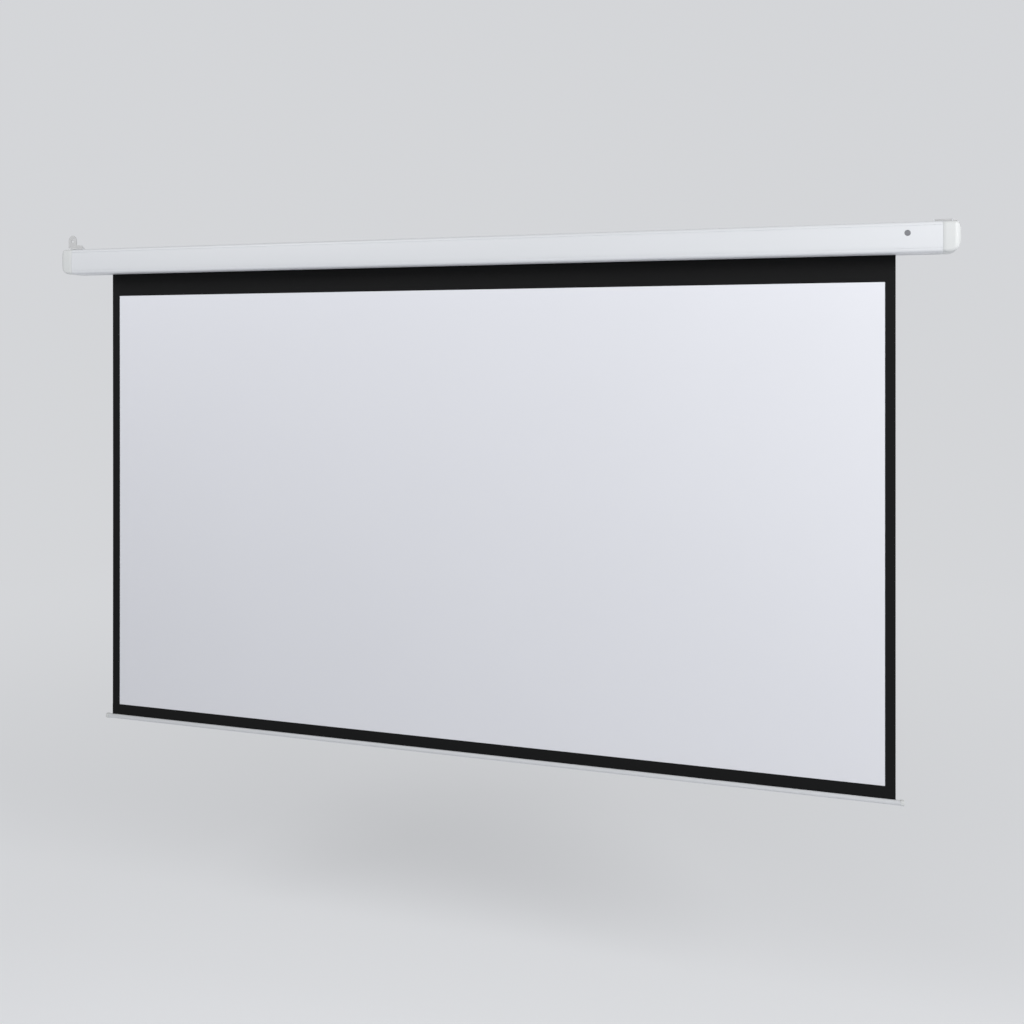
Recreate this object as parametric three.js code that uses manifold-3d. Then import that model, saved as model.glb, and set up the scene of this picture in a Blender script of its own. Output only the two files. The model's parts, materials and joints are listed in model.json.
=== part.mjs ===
// Motorized projector screen, let right down, in millimetres.
// X runs along the case, Y towards the wall and Z up.
// The origin is the middle of the flat back of the case.
import * as THREE from 'three';
import { mergeVertices } from 'three/addons/utils/BufferGeometryUtils.js';
import Module from 'manifold-3d';

const wasm = await Module();
wasm.setup();

// The screen surface
const viewWidth = 2214;
const viewHeight = 1245;
const sideBorder = 25;
const topDrop = 66;
const bottomBorder = 31;
const fabricThick = 0.4;
const coatThick = 0.2;

// The case
const caseHeight = 75;
const caseDepth = 73;
const caseWall = 1.8;
const frontBulge = 2;
const frontRound = 10;
const backRound = 3;
const caseBeyondFabric = 105;
const slotWidth = 12;
const lipHeight = 6.5;
const grooveWidth = 2;
const grooveDepth = 0.8;
const grooveFromEdge = 10;

// The end caps and what closes the case
const capLength = 41;
const capWall = 2.2;
const capTopRound = 14;
const capBottomFlat = 14;
const capFrontRound = 15;
const capBackRound = 4;
const plateThick = 2.5;
const screwShank = 1.6;
const screwHead = 3.2;
const screwHeadThick = 2.2;
const screwSink = 9;
const screwGrip = 12;
const screwSocket = 1.5;
const screwSocketDepth = 1.2;
const bossWall = 2;
const portWall = 1.5;
const portStem = 5;
const portMouth = 1.6;
const upperPortZ = 24;
const lowerPortZ = -12;

// The roller and what carries it on the left
const rollerBackShare = 0.8454;
const rollerWall = 1.5;
const woundThick = 1.5;
const flangeRim = 0.5;
const splineRadius = 1.4;
const splineWall = 1;
const splineMouth = 1.6;
const pinRadius = 5;
const pinTailRadius = 4;
const pinTailOut = 2.5;
const pinCollarRadius = 8;
const pinCollarThick = 4;
const pinInside = 36;
const bushWall = 2.7;
const bushFlangeRadius = 10.5;
const bushFlangeThick = 1.5;
const plugLength = 40;
const plugFlangeThick = 3;
const plugHollowRadius = 16;
const plugHollowDepth = 26;

// The tube motor on the right
const headRim = 1.5;
const headLength = 36;
const headSpigot = 14;
const stubSide = 10;
const stubOut = 3;
const crownFlange = 6;
const crownSleeve = 14;
const motorRadius = 17.5;
const motorWall = 1;
const motorClearance = 0.6;
const motorSpacing = 3;
const brakeLength = 14;
const bearingLength = 6;
const statorLength = 140;
const statorBore = 9.2;
const statorWeb = 1.1;
const airGap = 0.6;
const driveWheelLength = 22;
const outputRadius = 5;
const noseLength = 12;

// The gear train in the motor's nose
const ringWall = 1.54;
const sunWall = 0.86;
const gearPlay = 0.3;
const addendumShare = 0.85;
const dedendumShare = 1.21;
const gearWidth = 12;
const ringWidth = 22;
const carrierThick = 5;
const carrierRim = 1.4;
const planetPinRadius = 2;

// The limit switches
const switchLength = 24;
const switchWidth = 18;
const switchHeight = 11;
const limitSpacing = 12;
const limitShank = 1.8;
const limitShankLength = 7;
const limitKnobRadius = 3;
const limitKnobFromBottom = 4.5;
const limitSocket = 1.6;
const limitSocketDepth = 3;
const accessRadius = 3.5;

// The electrics in the right end
const boardThick = 1.6;
const boardToPort = 3.6;
const boardLength = 84;
const boardFromSeam = 11;
const railThick = 1.2;
const railOverlap = 1.5;
const relayHeight = 5.5;
const relayWidth = 15;
const relayLength = 10;
const relaySpacing = 1.5;
const windowRadius = 7;
const windowThick = 2.4;
const windowProud = 0.5;
const windowFromSeam = 80;
const windowDropShare = 0.36;
const sensorSide = 6;
const sensorDepth = 5;
const terminalLength = 26;
const terminalDepth = 14;
const terminalHeight = 9;
const terminalHole = 1.4;
const terminalSink = 5;
const capacitorRadius = 7.5;
const capacitorLength = 58;
const grommetFlange = 7.5;
const grommetBody = 5.5;
const grommetBore = 4;
const grommetFlangeThick = 1.5;
const grommetInside = 5;
const grommetFromBack = 22;
const grommetZ = 11;

// The weight bar
const barRadius = 6.5;
const barWall = 1.2;
const barMouth = 2;
const barBeyondFabric = 11;
const barCapRim = 1;
const barCapLength = 10;
const barCapRound = 1.5;
const barCapSpigot = 8;
const hemRodRadius = 2.3;
const hemRodShort = 3;

// The hangers
const hangerFromEnd = 20.5;
const eyeRadius = 14.2;
const eyeCrown = 18;
const eyeHeight = 45.5;
const eyeHoleRadius = 4.25;
const eyeThick = 2.5;
const shoulderHeight = 15;
const shoulderRound = 9;
const hangerInner = 61;
const hangerOuter = 16;
const knuckleWall = 0.9;
const hangerPinRadius = 1.4;
const hangerPinHead = 2.4;
const hangerPinHeadThick = 1.2;
const baseThick = 1.2;
const baseWidth = 22;
const earThick = 2.5;

// Clearances and counts
const gap = 0.3;
const overrun = 5;
const weld = 0.0005;
const cornerSteps = 2;
const capSteps = 3;
const fewSteps = 3;
const smallSteps = 6;
const barSteps = 8;
const roundSteps = 12;
const hexSides = 6;
const sunTeeth = 12;
const planetTeeth = 15;
const planets = 3;
const statorSlots = 6;
const relayCount = 2;
const pressureAngle = THREE.MathUtils.degToRad(20);
const frontShares = [0.9, 0.45, 0, -0.45, -0.9];
const terminalShares = [0.18, 0.5, 0.82];

// Radii that fit into each other, from the motor out to the roll and in to the gears
const troughRadius = splineRadius + gap + splineWall;
const rollerRadius = motorRadius + motorClearance + 2 * troughRadius - splineWall / 2;
const rollerFlangeRadius = rollerRadius + flangeRim;
const turnsRadius = rollerRadius + woundThick;
const tubeInside = rollerRadius - rollerWall;
const insertRadius = tubeInside - gap;
const headRadius = motorRadius + headRim;
const motorInside = motorRadius - motorWall;
const innerRadius = motorInside - gap;
const rotorRadius = statorBore - airGap;
const statorSlotRadius = (innerRadius - statorBore) / 2 - statorWeb;
const ringTeeth = sunTeeth + 2 * planetTeeth;
const gearModule = (innerRadius - ringWall) / (ringTeeth / 2 + dedendumShare);
const gearAddendum = addendumShare * gearModule;
const gearDedendum = dedendumShare * gearModule;
const shaftRadius = (sunTeeth * gearModule) / 2 - gearDedendum - sunWall - gap;
const barCapRadius = barRadius + barCapRim;
const portBore = screwShank + gap;
const portRadius = portBore + portWall;

// The roller's depth in the case: what it needs behind and before its axis, and a share of the rest
const roomBehind = turnsRadius + gap + (fabricThick + slotWidth) / 2 + caseWall;
const roomBefore =
  Math.max(turnsRadius, headRadius + relayHeight) + 2 * gap + boardThick + frontBulge + caseWall;
const spareDepth = caseDepth - roomBehind - roomBefore;
const rollerY = -roomBehind - rollerBackShare * spareDepth;

// Places that follow from the sizes
const fabricHalf = viewWidth / 2 + sideBorder;
const seamX = fabricHalf + caseBeyondFabric;
const endX = seamX + capLength;
const half = caseHeight / 2;
const fabricFront = rollerY + turnsRadius + gap;
const fabricY = fabricFront + fabricThick / 2;
const viewTop = -half - topDrop;
const viewBottom = viewTop - viewHeight;
const barZ = viewBottom - bottomBorder - barRadius;
const plateFace = seamX + gap;
const headFace = seamX - headLength;
const rollerEnd = headFace - gap - crownFlange - gap;
const grooveFromMiddle = half - grooveFromEdge;
const capBottomRound = capLength - capBottomFlat;
const boardHalfHeight = upperPortZ - portRadius - boardToPort;
const limitKnobLength = half - limitKnobFromBottom - headRadius - gap;

const finishes = {
  caseWhite: ['#d6d9dd', 0.42, 0],
  capWhite: ['#e2e7e4', 0.5, 0],
  steel: ['#a9adb2', 0.38, 1],
  zinc: ['#c4c6c4', 0.42, 1],
  screenWhite: ['#dfe2e9', 0.85, 0],
  screenBlack: ['#17181b', 0.8, 0],
  barWhite: ['#cfd1d4', 0.4, 0],
  blackPlastic: ['#1e1f21', 0.5, 0],
  greyPlastic: ['#8b9094', 0.55, 0],
  aluminium: ['#b9bdc1', 0.35, 1],
  brass: ['#b59a52', 0.35, 1],
  copper: ['#a8623a', 0.4, 1],
  board: ['#2f6b43', 0.6, 0],
  amber: ['#d8b13a', 0.5, 0],
  rubber: ['#2a2b2c', 0.85, 0],
  windowDark: ['#4a4e55', 0.2, 0],
};

// A closed mesh as a solid that can be cut and joined.
function solidOf(geometry) {
  const plain = geometry.clone();
  plain.deleteAttribute('normal');
  plain.deleteAttribute('uv');
  const welded = mergeVertices(plain, weld);
  const corners = welded.index.array;
  const kept = [];
  for (let i = 0; i < corners.length; i += 3) {
    const [a, b, c] = corners.slice(i, i + 3);
    if (a !== b && b !== c && c !== a) kept.push(a, b, c);
  }
  const vertProperties = Float32Array.from(welded.attributes.position.array);
  return new wasm.Manifold(
    new wasm.Mesh({ numProp: 3, vertProperties, triVerts: Uint32Array.from(kept) }),
  );
}

function geometryOf(solid) {
  const { vertProperties, triVerts } = solid.getMesh();
  const geometry = new THREE.BufferGeometry();
  geometry.setAttribute('position', new THREE.BufferAttribute(vertProperties, 3));
  geometry.setIndex(new THREE.BufferAttribute(triVerts, 1));
  geometry.computeVertexNormals();
  return geometry;
}

const combine = (how, first, rest) =>
  geometryOf(rest.reduce((solid, next) => solid[how](solidOf(next)), solidOf(first)));
const cut = (body, ...tools) => combine('subtract', body, tools);
const joined = (body, ...others) => combine('add', body, others);
const common = (body, ...others) => combine('intersect', body, others);

const moved = (geometry, x = 0, y = 0, z = 0) => geometry.clone().translate(x, y, z);

// The same shape on the other side of the middle, with its faces still pointing out.
function mirrored(geometry) {
  const other = geometry.clone().scale(-1, 1, 1);
  other.index.array.reverse();
  other.computeVertexNormals();
  return other;
}

const vector = (x, y, z) => new THREE.Vector3(x, y, z);
const turnedTo = (u, v, w) => new THREE.Matrix4().makeBasis(u, v, w);
const yzToX = turnedTo(vector(0, 1, 0), vector(0, 0, 1), vector(1, 0, 0));
const xzToBack = turnedTo(vector(1, 0, 0), vector(0, 0, 1), vector(0, -1, 0));

function prism(shape, length, steps = cornerSteps) {
  const settings = { depth: length, bevelEnabled: false, curveSegments: steps };
  return new THREE.ExtrudeGeometry(shape, settings);
}

// A shape drawn in Y and Z, drawn out along X from zero.
const alongX = (shape, length, steps) => prism(shape, length, steps).applyMatrix4(yzToX);
// A shape drawn in X and Z, drawn out along Y from zero towards the room.
const alongY = (shape, length, steps) => prism(shape, length, steps).applyMatrix4(xzToBack);
// A shape drawn in X and Y, drawn out along Z from zero.
const alongZ = (shape, length, steps) => prism(shape, length, steps);

// A block given by its lowest and highest corners.
function block(low, high) {
  const [x, y, z] = high.map((value, i) => value - low[i]);
  const middle = high.map((value, i) => (value + low[i]) / 2);
  return new THREE.BoxGeometry(x, y, z).translate(...middle);
}

// A closed outline through corners [u, v, radius], each rounded by its radius.
function outline(corners) {
  const shape = new THREE.Shape();
  corners.forEach(([u, v, radius = 0], i) => {
    const here = new THREE.Vector2(u, v);
    const [lastU, lastV] = corners.at(i - 1);
    const [nextU, nextV] = corners[(i + 1) % corners.length];
    const back = new THREE.Vector2(lastU, lastV).sub(here).normalize();
    const on = new THREE.Vector2(nextU, nextV).sub(here).normalize();
    if (!radius) {
      if (i) shape.lineTo(u, v);
      else shape.moveTo(u, v);
      return;
    }
    const halfAngle = back.angleTo(on) / 2;
    const reach = radius / Math.tan(halfAngle);
    const inward = back.clone().add(on).normalize();
    const middle = here.clone().addScaledVector(inward, radius / Math.sin(halfAngle));
    const from = here.clone().addScaledVector(back, reach).sub(middle);
    const to = here.clone().addScaledVector(on, reach).sub(middle);
    const clockwise = back.cross(on) > 0;
    shape.absarc(middle.x, middle.y, radius, from.angle(), to.angle(), clockwise);
  });
  shape.closePath();
  return shape;
}

function disc(radius, bore = 0) {
  const shape = new THREE.Shape().absarc(0, 0, radius, 0, 2 * Math.PI);
  if (bore) shape.holes.push(new THREE.Path().absarc(0, 0, bore, 0, 2 * Math.PI));
  return shape;
}

const rod = (radius, length, steps = smallSteps) => alongX(disc(radius), length, steps);
const pipe = (radius, bore, length, steps = roundSteps) =>
  alongX(disc(radius, bore), length, steps);

// A piece turned about X. Each point of its profile is [place along X, radius].
function turned(profile, steps = roundSteps) {
  const points = profile.map(([x, radius]) => new THREE.Vector2(radius, x));
  return new THREE.LatheGeometry(points, 2 * steps).rotateZ(-Math.PI / 2);
}

function polygon(radius, sides, turn = 0) {
  const corners = Array.from({ length: sides }, (_, i) => {
    const angle = turn + (i * 2 * Math.PI) / sides;
    return [radius * Math.cos(angle), radius * Math.sin(angle)];
  });
  return outline(corners);
}

const model = new THREE.Group();
model.name = 'projector_screen';
const rollerAxis = new THREE.Group();
rollerAxis.position.y = rollerY;
const barAxis = new THREE.Group();
barAxis.position.set(0, fabricY, barZ);
model.add(rollerAxis, barAxis);

function place(parent, name, geometry, finish, x = 0, y = 0, z = 0) {
  const [color, roughness, metalness] = finishes[finish];
  const material = new THREE.MeshStandardMaterial({ color, roughness, metalness });
  const mesh = new THREE.Mesh(geometryOf(solidOf(geometry)), material);
  mesh.name = name;
  mesh.position.set(x, y, z);
  parent.add(mesh);
}

// The front of the case is a gentle curve, fullest at mid-height.
const caseFront = (z, inset = 0) => -caseDepth + inset + frontBulge * (z / half) ** 2;

// The section of the case, drawn in by an inset.
function caseOutline(inset) {
  const top = half - inset;
  const fillet = Math.max(frontRound - inset, gap);
  const straight = half - frontRound;
  const backFillet = Math.max(backRound - inset, gap);
  return outline([
    [-inset, -top, backFillet],
    [-inset, top, backFillet],
    [caseFront(half, inset), top, fillet],
    ...frontShares.map((share) => [caseFront(share * straight, inset), share * straight]),
    [caseFront(half, inset), -top, fillet],
  ]);
}

const portOff = portStem + portBore;
const ports = [
  { y: caseFront(upperPortZ, caseWall) + portOff, z: upperPortZ, mouth: 1 },
  { y: -caseWall - portOff, z: lowerPortZ, mouth: -1 },
];
const boardBack = -caseDepth + caseWall + frontBulge + gap + boardThick;
const boardEnd = seamX - boardFromSeam;
const windowX = seamX - windowFromSeam;
const windowZ = half - windowDropShare * caseHeight;
const windowFace = caseFront(windowZ) - windowProud;
const switchMiddle = seamX - headLength / 2;
const limitPlaces = [switchMiddle - limitSpacing / 2, switchMiddle + limitSpacing / 2];

const slotFront = fabricY - slotWidth / 2;
const slotBack = fabricY + slotWidth / 2;
const lipTop = -half + lipHeight;

// One of the two hooked rails that hold the board, above it (side 1) or below it (side -1).
function boardRail(side, length) {
  const hookFrom = boardBack + gap;
  const hookTo = hookFrom + railThick;
  const near = side * (boardHalfHeight + gap);
  const far = near + side * railThick;
  const tip = near - side * railOverlap;
  const low = Math.min(near, far);
  const high = Math.max(near, far);
  return joined(
    block([0, caseFront(near, caseWall / 2), low], [length, hookTo, high]),
    block([0, hookFrom, Math.min(tip, low)], [length, hookTo, Math.max(tip, high)]),
  );
}

// What the drawn section of the case carries inside: slot lips, board rails, screw ports on stems.
function caseInserts(length) {
  const foot = -half + caseWall / 2;
  return [
    block([0, slotFront - caseWall, foot], [length, slotFront, lipTop]),
    block([0, slotBack, foot], [length, slotBack + caseWall, lipTop]),
    boardRail(1, length),
    boardRail(-1, length),
    ...ports.map(({ y, z }) => moved(rod(portRadius, length), 0, y, z)),
    ...ports.map(({ y, z, mouth }) => {
      const wall = y - mouth * (portOff + caseWall / 2);
      const side = portWall / 2;
      return block([0, Math.min(y, wall), z - side], [length, Math.max(y, wall), z + side]);
    }),
  ];
}

// What is cut along its whole length: the slot, the screw ports with their mouths, the grooves.
function caseCuts(length) {
  const from = -overrun;
  const to = length + overrun;
  return [
    block([from, slotFront, -half - overrun], [to, slotBack, lipTop]),
    ...ports.map(({ y, z }) => moved(rod(portBore, to - from), from, y, z)),
    ...ports.map(({ y, z, mouth }) => {
      const open = y + mouth * (portRadius + gap);
      const side = portMouth / 2;
      return block([from, Math.min(y, open), z - side], [to, Math.max(y, open), z + side]);
    }),
    ...[grooveFromMiddle, -grooveFromMiddle].map((z) => {
      const deep = caseFront(z) + grooveDepth;
      const side = grooveWidth / 2;
      return block([from, deep - overrun, z - side], [to, deep, z + side]);
    }),
  ];
}

function buildCase() {
  const length = 2 * seamX;
  const shell = cut(
    alongX(caseOutline(0), length),
    moved(alongX(caseOutline(caseWall), length + 2 * overrun), -overrun),
  );
  const windowHole = alongY(disc(windowRadius + gap), overrun + caseWall, roundSteps);
  const windowHoleY = caseFront(windowZ, caseWall) + overrun / 2;
  const access = alongZ(disc(accessRadius), overrun, smallSteps);
  const removed = [
    ...caseCuts(length),
    moved(windowHole, seamX + windowX, windowHoleY, windowZ),
    ...limitPlaces.map((x) => moved(access, seamX + x, rollerY, -half - overrun / 2)),
  ];
  const whole = cut(joined(shell, ...caseInserts(length)), ...removed);
  place(model, 'case_shell', whole, 'caseWhite', -seamX);
}

// The outside of an end cap from its seam at zero, or its hollow when drawn in.
function capBlock(inset, from) {
  const end = capLength - inset;
  const top = half - inset;
  const front = alongY(
    outline([
      [from, -top],
      [end, -top, capBottomRound - inset],
      [end, top, capTopRound - inset],
      [from, top],
    ]),
    caseDepth + 2 * overrun,
    capSteps,
  );
  const above = alongZ(
    outline([
      [from, -caseDepth + inset],
      [end, -caseDepth + inset, capFrontRound - inset],
      [end, -inset, capBackRound - inset],
      [from, -inset],
    ]),
    caseHeight + 2 * overrun,
  );
  return common(
    moved(alongX(caseOutline(inset), end - from), from),
    moved(front, 0, overrun, 0),
    moved(above, 0, 0, -half - overrun),
  );
}

function buildCaps() {
  const outside = capBlock(0, gap);
  const seat = capLength - screwSink;
  const bossStart = plateFace - seamX + plateThick + gap;
  const bosses = ports.map(({ y, z }) =>
    common(moved(rod(screwHead + gap + bossWall, capLength), bossStart, y, z), outside),
  );
  const bores = ports.flatMap(({ y, z }) => [
    moved(rod(portBore, capLength + 2 * overrun), -overrun, y, z),
    moved(rod(screwHead + gap, capLength), seat, y, z),
  ]);
  const shell = cut(joined(cut(outside, capBlock(capWall, -overrun)), ...bosses), ...bores);
  const inlet = rod(grommetBody + gap, 2 * overrun).translate(
    capLength - overrun,
    -grommetFromBack,
    grommetZ,
  );
  place(model, 'end_cap_right', cut(shell, inlet), 'capWhite', seamX);
  place(model, 'end_cap_left', mirrored(shell), 'capWhite', -seamX);

  const screw = cut(
    turned(
      [
        [0, 0],
        [0, screwHead],
        [screwHeadThick, screwHead],
        [screwHeadThick, screwShank],
        [seat + screwGrip + screwHeadThick, screwShank],
        [seat + screwGrip + screwHeadThick, 0],
      ],
      smallSteps,
    ),
    moved(alongX(polygon(screwSocket, hexSides), overrun), screwSocketDepth - overrun),
  );
  const names = ['upper', 'lower'];
  ports.forEach(({ y, z }, i) => {
    const headEnd = seamX + seat + gap + screwHeadThick;
    const right = screw.clone().rotateZ(Math.PI);
    place(model, `cap_screw_right_${names[i]}`, right, 'zinc', headEnd, y, z);
    place(model, `cap_screw_left_${names[i]}`, screw, 'zinc', -headEnd, y, z);
  });

  const blank = alongX(caseOutline(capWall + gap), plateThick);
  const holes = ports.map(({ y, z }) => moved(rod(portBore, 2 * overrun), -overrun, y, z));
  const pinHole = moved(rod(pinTailRadius + gap, 2 * overrun), -overrun, rollerY);
  const side = stubSide / 2 + gap;
  const stubHole = block([-overrun, rollerY - side, -side], [overrun, rollerY + side, side]);
  const leadHole = moved(rod(grommetBody, 2 * overrun), -overrun, -grommetFromBack, grommetZ);
  place(model, 'end_plate_left', cut(blank, ...holes, pinHole), 'steel', -plateFace - plateThick);
  place(model, 'end_plate_right', cut(blank, ...holes, stubHole, leadHole), 'steel', plateFace);
}

// The trough in the roller that holds the spline, at a distance from the axis.
const troughPlace = rollerRadius - troughRadius + splineWall / 2;
const notch = (from, to) => moved(rod(troughRadius + gap, to - from), from, -troughPlace);

function buildRoller() {
  const length = 2 * rollerEnd;
  const long = length + 2 * overrun;
  const side = splineMouth / 2;
  const tube = cut(
    joined(
      pipe(rollerRadius, tubeInside, length),
      common(
        moved(rod(troughRadius, length), 0, -troughPlace),
        rod(rollerRadius - gap, length, roundSteps),
      ),
    ),
    moved(rod(splineRadius + gap, long), -overrun, -troughPlace),
    block([-overrun, -rollerRadius - overrun, -side], [long, -troughPlace, side]),
  );
  place(rollerAxis, 'roller_tube', tube, 'aluminium', -rollerEnd);
  const spline = rod(splineRadius, 2 * fabricHalf);
  place(rollerAxis, 'fabric_spline', spline, 'greyPlastic', -fabricHalf, -troughPlace);
  const turns = pipe(turnsRadius, rollerRadius + gap, 2 * fabricHalf);
  place(rollerAxis, 'fabric_turns', turns, 'screenBlack', -fabricHalf);
}

function buildIdler() {
  const collarEnd = -seamX + pinCollarThick;
  const bushRadius = pinRadius + gap + bushWall;
  const plugStart = -rollerEnd - gap - plugFlangeThick;
  const bushStart = plugStart - gap - bushFlangeThick;
  const pin = turned([
    [-plateFace - plateThick - pinTailOut, 0],
    [-plateFace - plateThick - pinTailOut, pinTailRadius],
    [-seamX, pinTailRadius],
    [-seamX, pinCollarRadius],
    [collarEnd, pinCollarRadius],
    [collarEnd, pinRadius],
    [-rollerEnd + pinInside, pinRadius],
    [-rollerEnd + pinInside, 0],
  ]);
  place(rollerAxis, 'idler_pin', pin.translate(seamX, 0, 0), 'steel', -seamX);
  const bore = pinRadius + gap;
  const bush = turned([
    [0, bore],
    [0, bushFlangeRadius],
    [bushFlangeThick, bushFlangeRadius],
    [bushFlangeThick, bushRadius],
    [plugLength, bushRadius],
    [plugLength, bore],
    [0, bore],
  ]);
  place(rollerAxis, 'idler_bush', bush, 'brass', bushStart);
  const sleeveEnd = plugFlangeThick + gap + plugLength;
  const hollowFrom = sleeveEnd - plugHollowDepth;
  const plug = cut(
    turned([
      [0, bushRadius + gap],
      [0, rollerFlangeRadius],
      [plugFlangeThick, rollerFlangeRadius],
      [plugFlangeThick, insertRadius],
      [sleeveEnd, insertRadius],
      [sleeveEnd, plugHollowRadius],
      [hollowFrom, plugHollowRadius],
      [hollowFrom, bushRadius + gap],
      [0, bushRadius + gap],
    ]),
    notch(plugFlangeThick, sleeveEnd + overrun),
  );
  place(rollerAxis, 'idler_plug', plug, 'greyPlastic', plugStart);
}

// Where each piece in the motor ends, going in from the head.
const spigotEnd = headFace - headSpigot;
const brakeStart = spigotEnd - motorSpacing - brakeLength;
const rearBearing = brakeStart - motorSpacing - bearingLength;
const statorStart = rearBearing - motorSpacing - statorLength;
const frontBearing = statorStart - motorSpacing - bearingLength;
const ringStart = frontBearing - motorSpacing - ringWidth;
const gearStart = ringStart + ringWidth - gearWidth - motorSpacing;
const carrierStart = gearStart - gap - carrierThick;
const noseStart = ringStart - motorSpacing - noseLength;
const wheelStart = noseStart - motorSpacing - driveWheelLength;

function buildMotor() {
  const side = stubSide / 2;
  const switchFrom = headLength / 2 - switchLength / 2 - gap;
  const switchTo = headLength / 2 + switchLength / 2 + gap;
  const pocketHalf = switchWidth / 2 + gap;
  const pocketTop = -headRadius + switchHeight + gap;
  const head = cut(
    joined(
      rod(headRadius, headLength, roundSteps),
      moved(rod(innerRadius, headSpigot + side, roundSteps), -headSpigot),
      block([side, -side, -side], [headLength + gap + plateThick + stubOut, side, side]),
    ),
    block([switchFrom, -pocketHalf, -headRadius - overrun], [switchTo, pocketHalf, pocketTop]),
  );
  place(rollerAxis, 'motor_head', head, 'blackPlastic', headFace);

  const tubeLength = headFace - gap - noseStart;
  place(rollerAxis, 'motor_tube', pipe(motorRadius, motorInside, tubeLength), 'steel', noseStart);
  const brake = pipe(innerRadius, 2 * shaftRadius, brakeLength);
  place(rollerAxis, 'brake_coil', brake, 'copper', brakeStart);
  const bearing = pipe(innerRadius, shaftRadius + gap, bearingLength);
  place(rollerAxis, 'rotor_bearing_rear', bearing, 'steel', rearBearing);
  place(rollerAxis, 'rotor_bearing_front', bearing, 'steel', frontBearing);
  const slotPlace = (statorBore + innerRadius) / 2;
  const slots = Array.from({ length: statorSlots }, (_, i) => {
    const angle = (i * 2 * Math.PI) / statorSlots;
    const [y, z] = [slotPlace * Math.cos(angle), slotPlace * Math.sin(angle)];
    return moved(rod(statorSlotRadius, statorLength + 2 * overrun, fewSteps), -overrun, y, z);
  });
  const stator = cut(pipe(innerRadius, statorBore, statorLength), ...slots);
  place(rollerAxis, 'stator', stator, 'copper', statorStart);
  const rotorFrom = statorStart + motorSpacing - gearStart;
  const rotorTo = rotorFrom + statorLength - 2 * motorSpacing;
  const shaftTo = brakeStart + brakeLength - gearStart;
  const rotor = turned([
    [0, 0],
    [0, shaftRadius],
    [rotorFrom, shaftRadius],
    [rotorFrom, rotorRadius],
    [rotorTo, rotorRadius],
    [rotorTo, shaftRadius],
    [shaftTo, shaftRadius],
    [shaftTo, 0],
  ]);
  place(rollerAxis, 'rotor', rotor, 'steel', gearStart);
  const noseBush = pipe(innerRadius, outputRadius + gap, noseLength);
  place(rollerAxis, 'nose_bush', noseBush, 'brass', noseStart);

  const sleeveEnd = crownSleeve + gap;
  const crown = cut(
    turned([
      [-sleeveEnd, motorRadius + gap],
      [-sleeveEnd, insertRadius],
      [0, insertRadius],
      [0, rollerFlangeRadius],
      [crownFlange, rollerFlangeRadius],
      [crownFlange, motorRadius + gap],
      [-sleeveEnd, motorRadius + gap],
    ]),
    notch(-sleeveEnd - overrun, 0),
  );
  place(rollerAxis, 'crown_ring', crown, 'greyPlastic', rollerEnd + gap);
}

// Half the angle that a tooth takes up at a radius, with involute flanks.
const involute = (angle) => Math.tan(angle) - angle;
function toothHalfAngle(teeth, radius, play) {
  const pitchRadius = (teeth * gearModule) / 2;
  const base = pitchRadius * Math.cos(pressureAngle);
  const lean = Math.acos(Math.min(1, base / radius));
  const share = Math.PI / 2 / teeth - play / pitchRadius / 4;
  return share + involute(pressureAngle) - involute(lean);
}

// A toothed outline through the given radii from root to tip, with one tooth straight up.
function toothed(teeth, radii, play) {
  const halfTooth = radii.map((radius) => [radius, -toothHalfAngle(teeth, radius, play)]);
  const corners = [];
  for (let i = 0; i < teeth; i += 1) {
    const lean = (i * 2 * Math.PI) / teeth;
    const otherHalf = halfTooth.map(([radius, angle]) => [radius, -angle]).reverse();
    [...halfTooth, ...otherHalf].forEach(([radius, angle]) => {
      corners.push([-radius * Math.sin(lean + angle), radius * Math.cos(lean + angle)]);
    });
  }
  return outline(corners);
}

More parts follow.
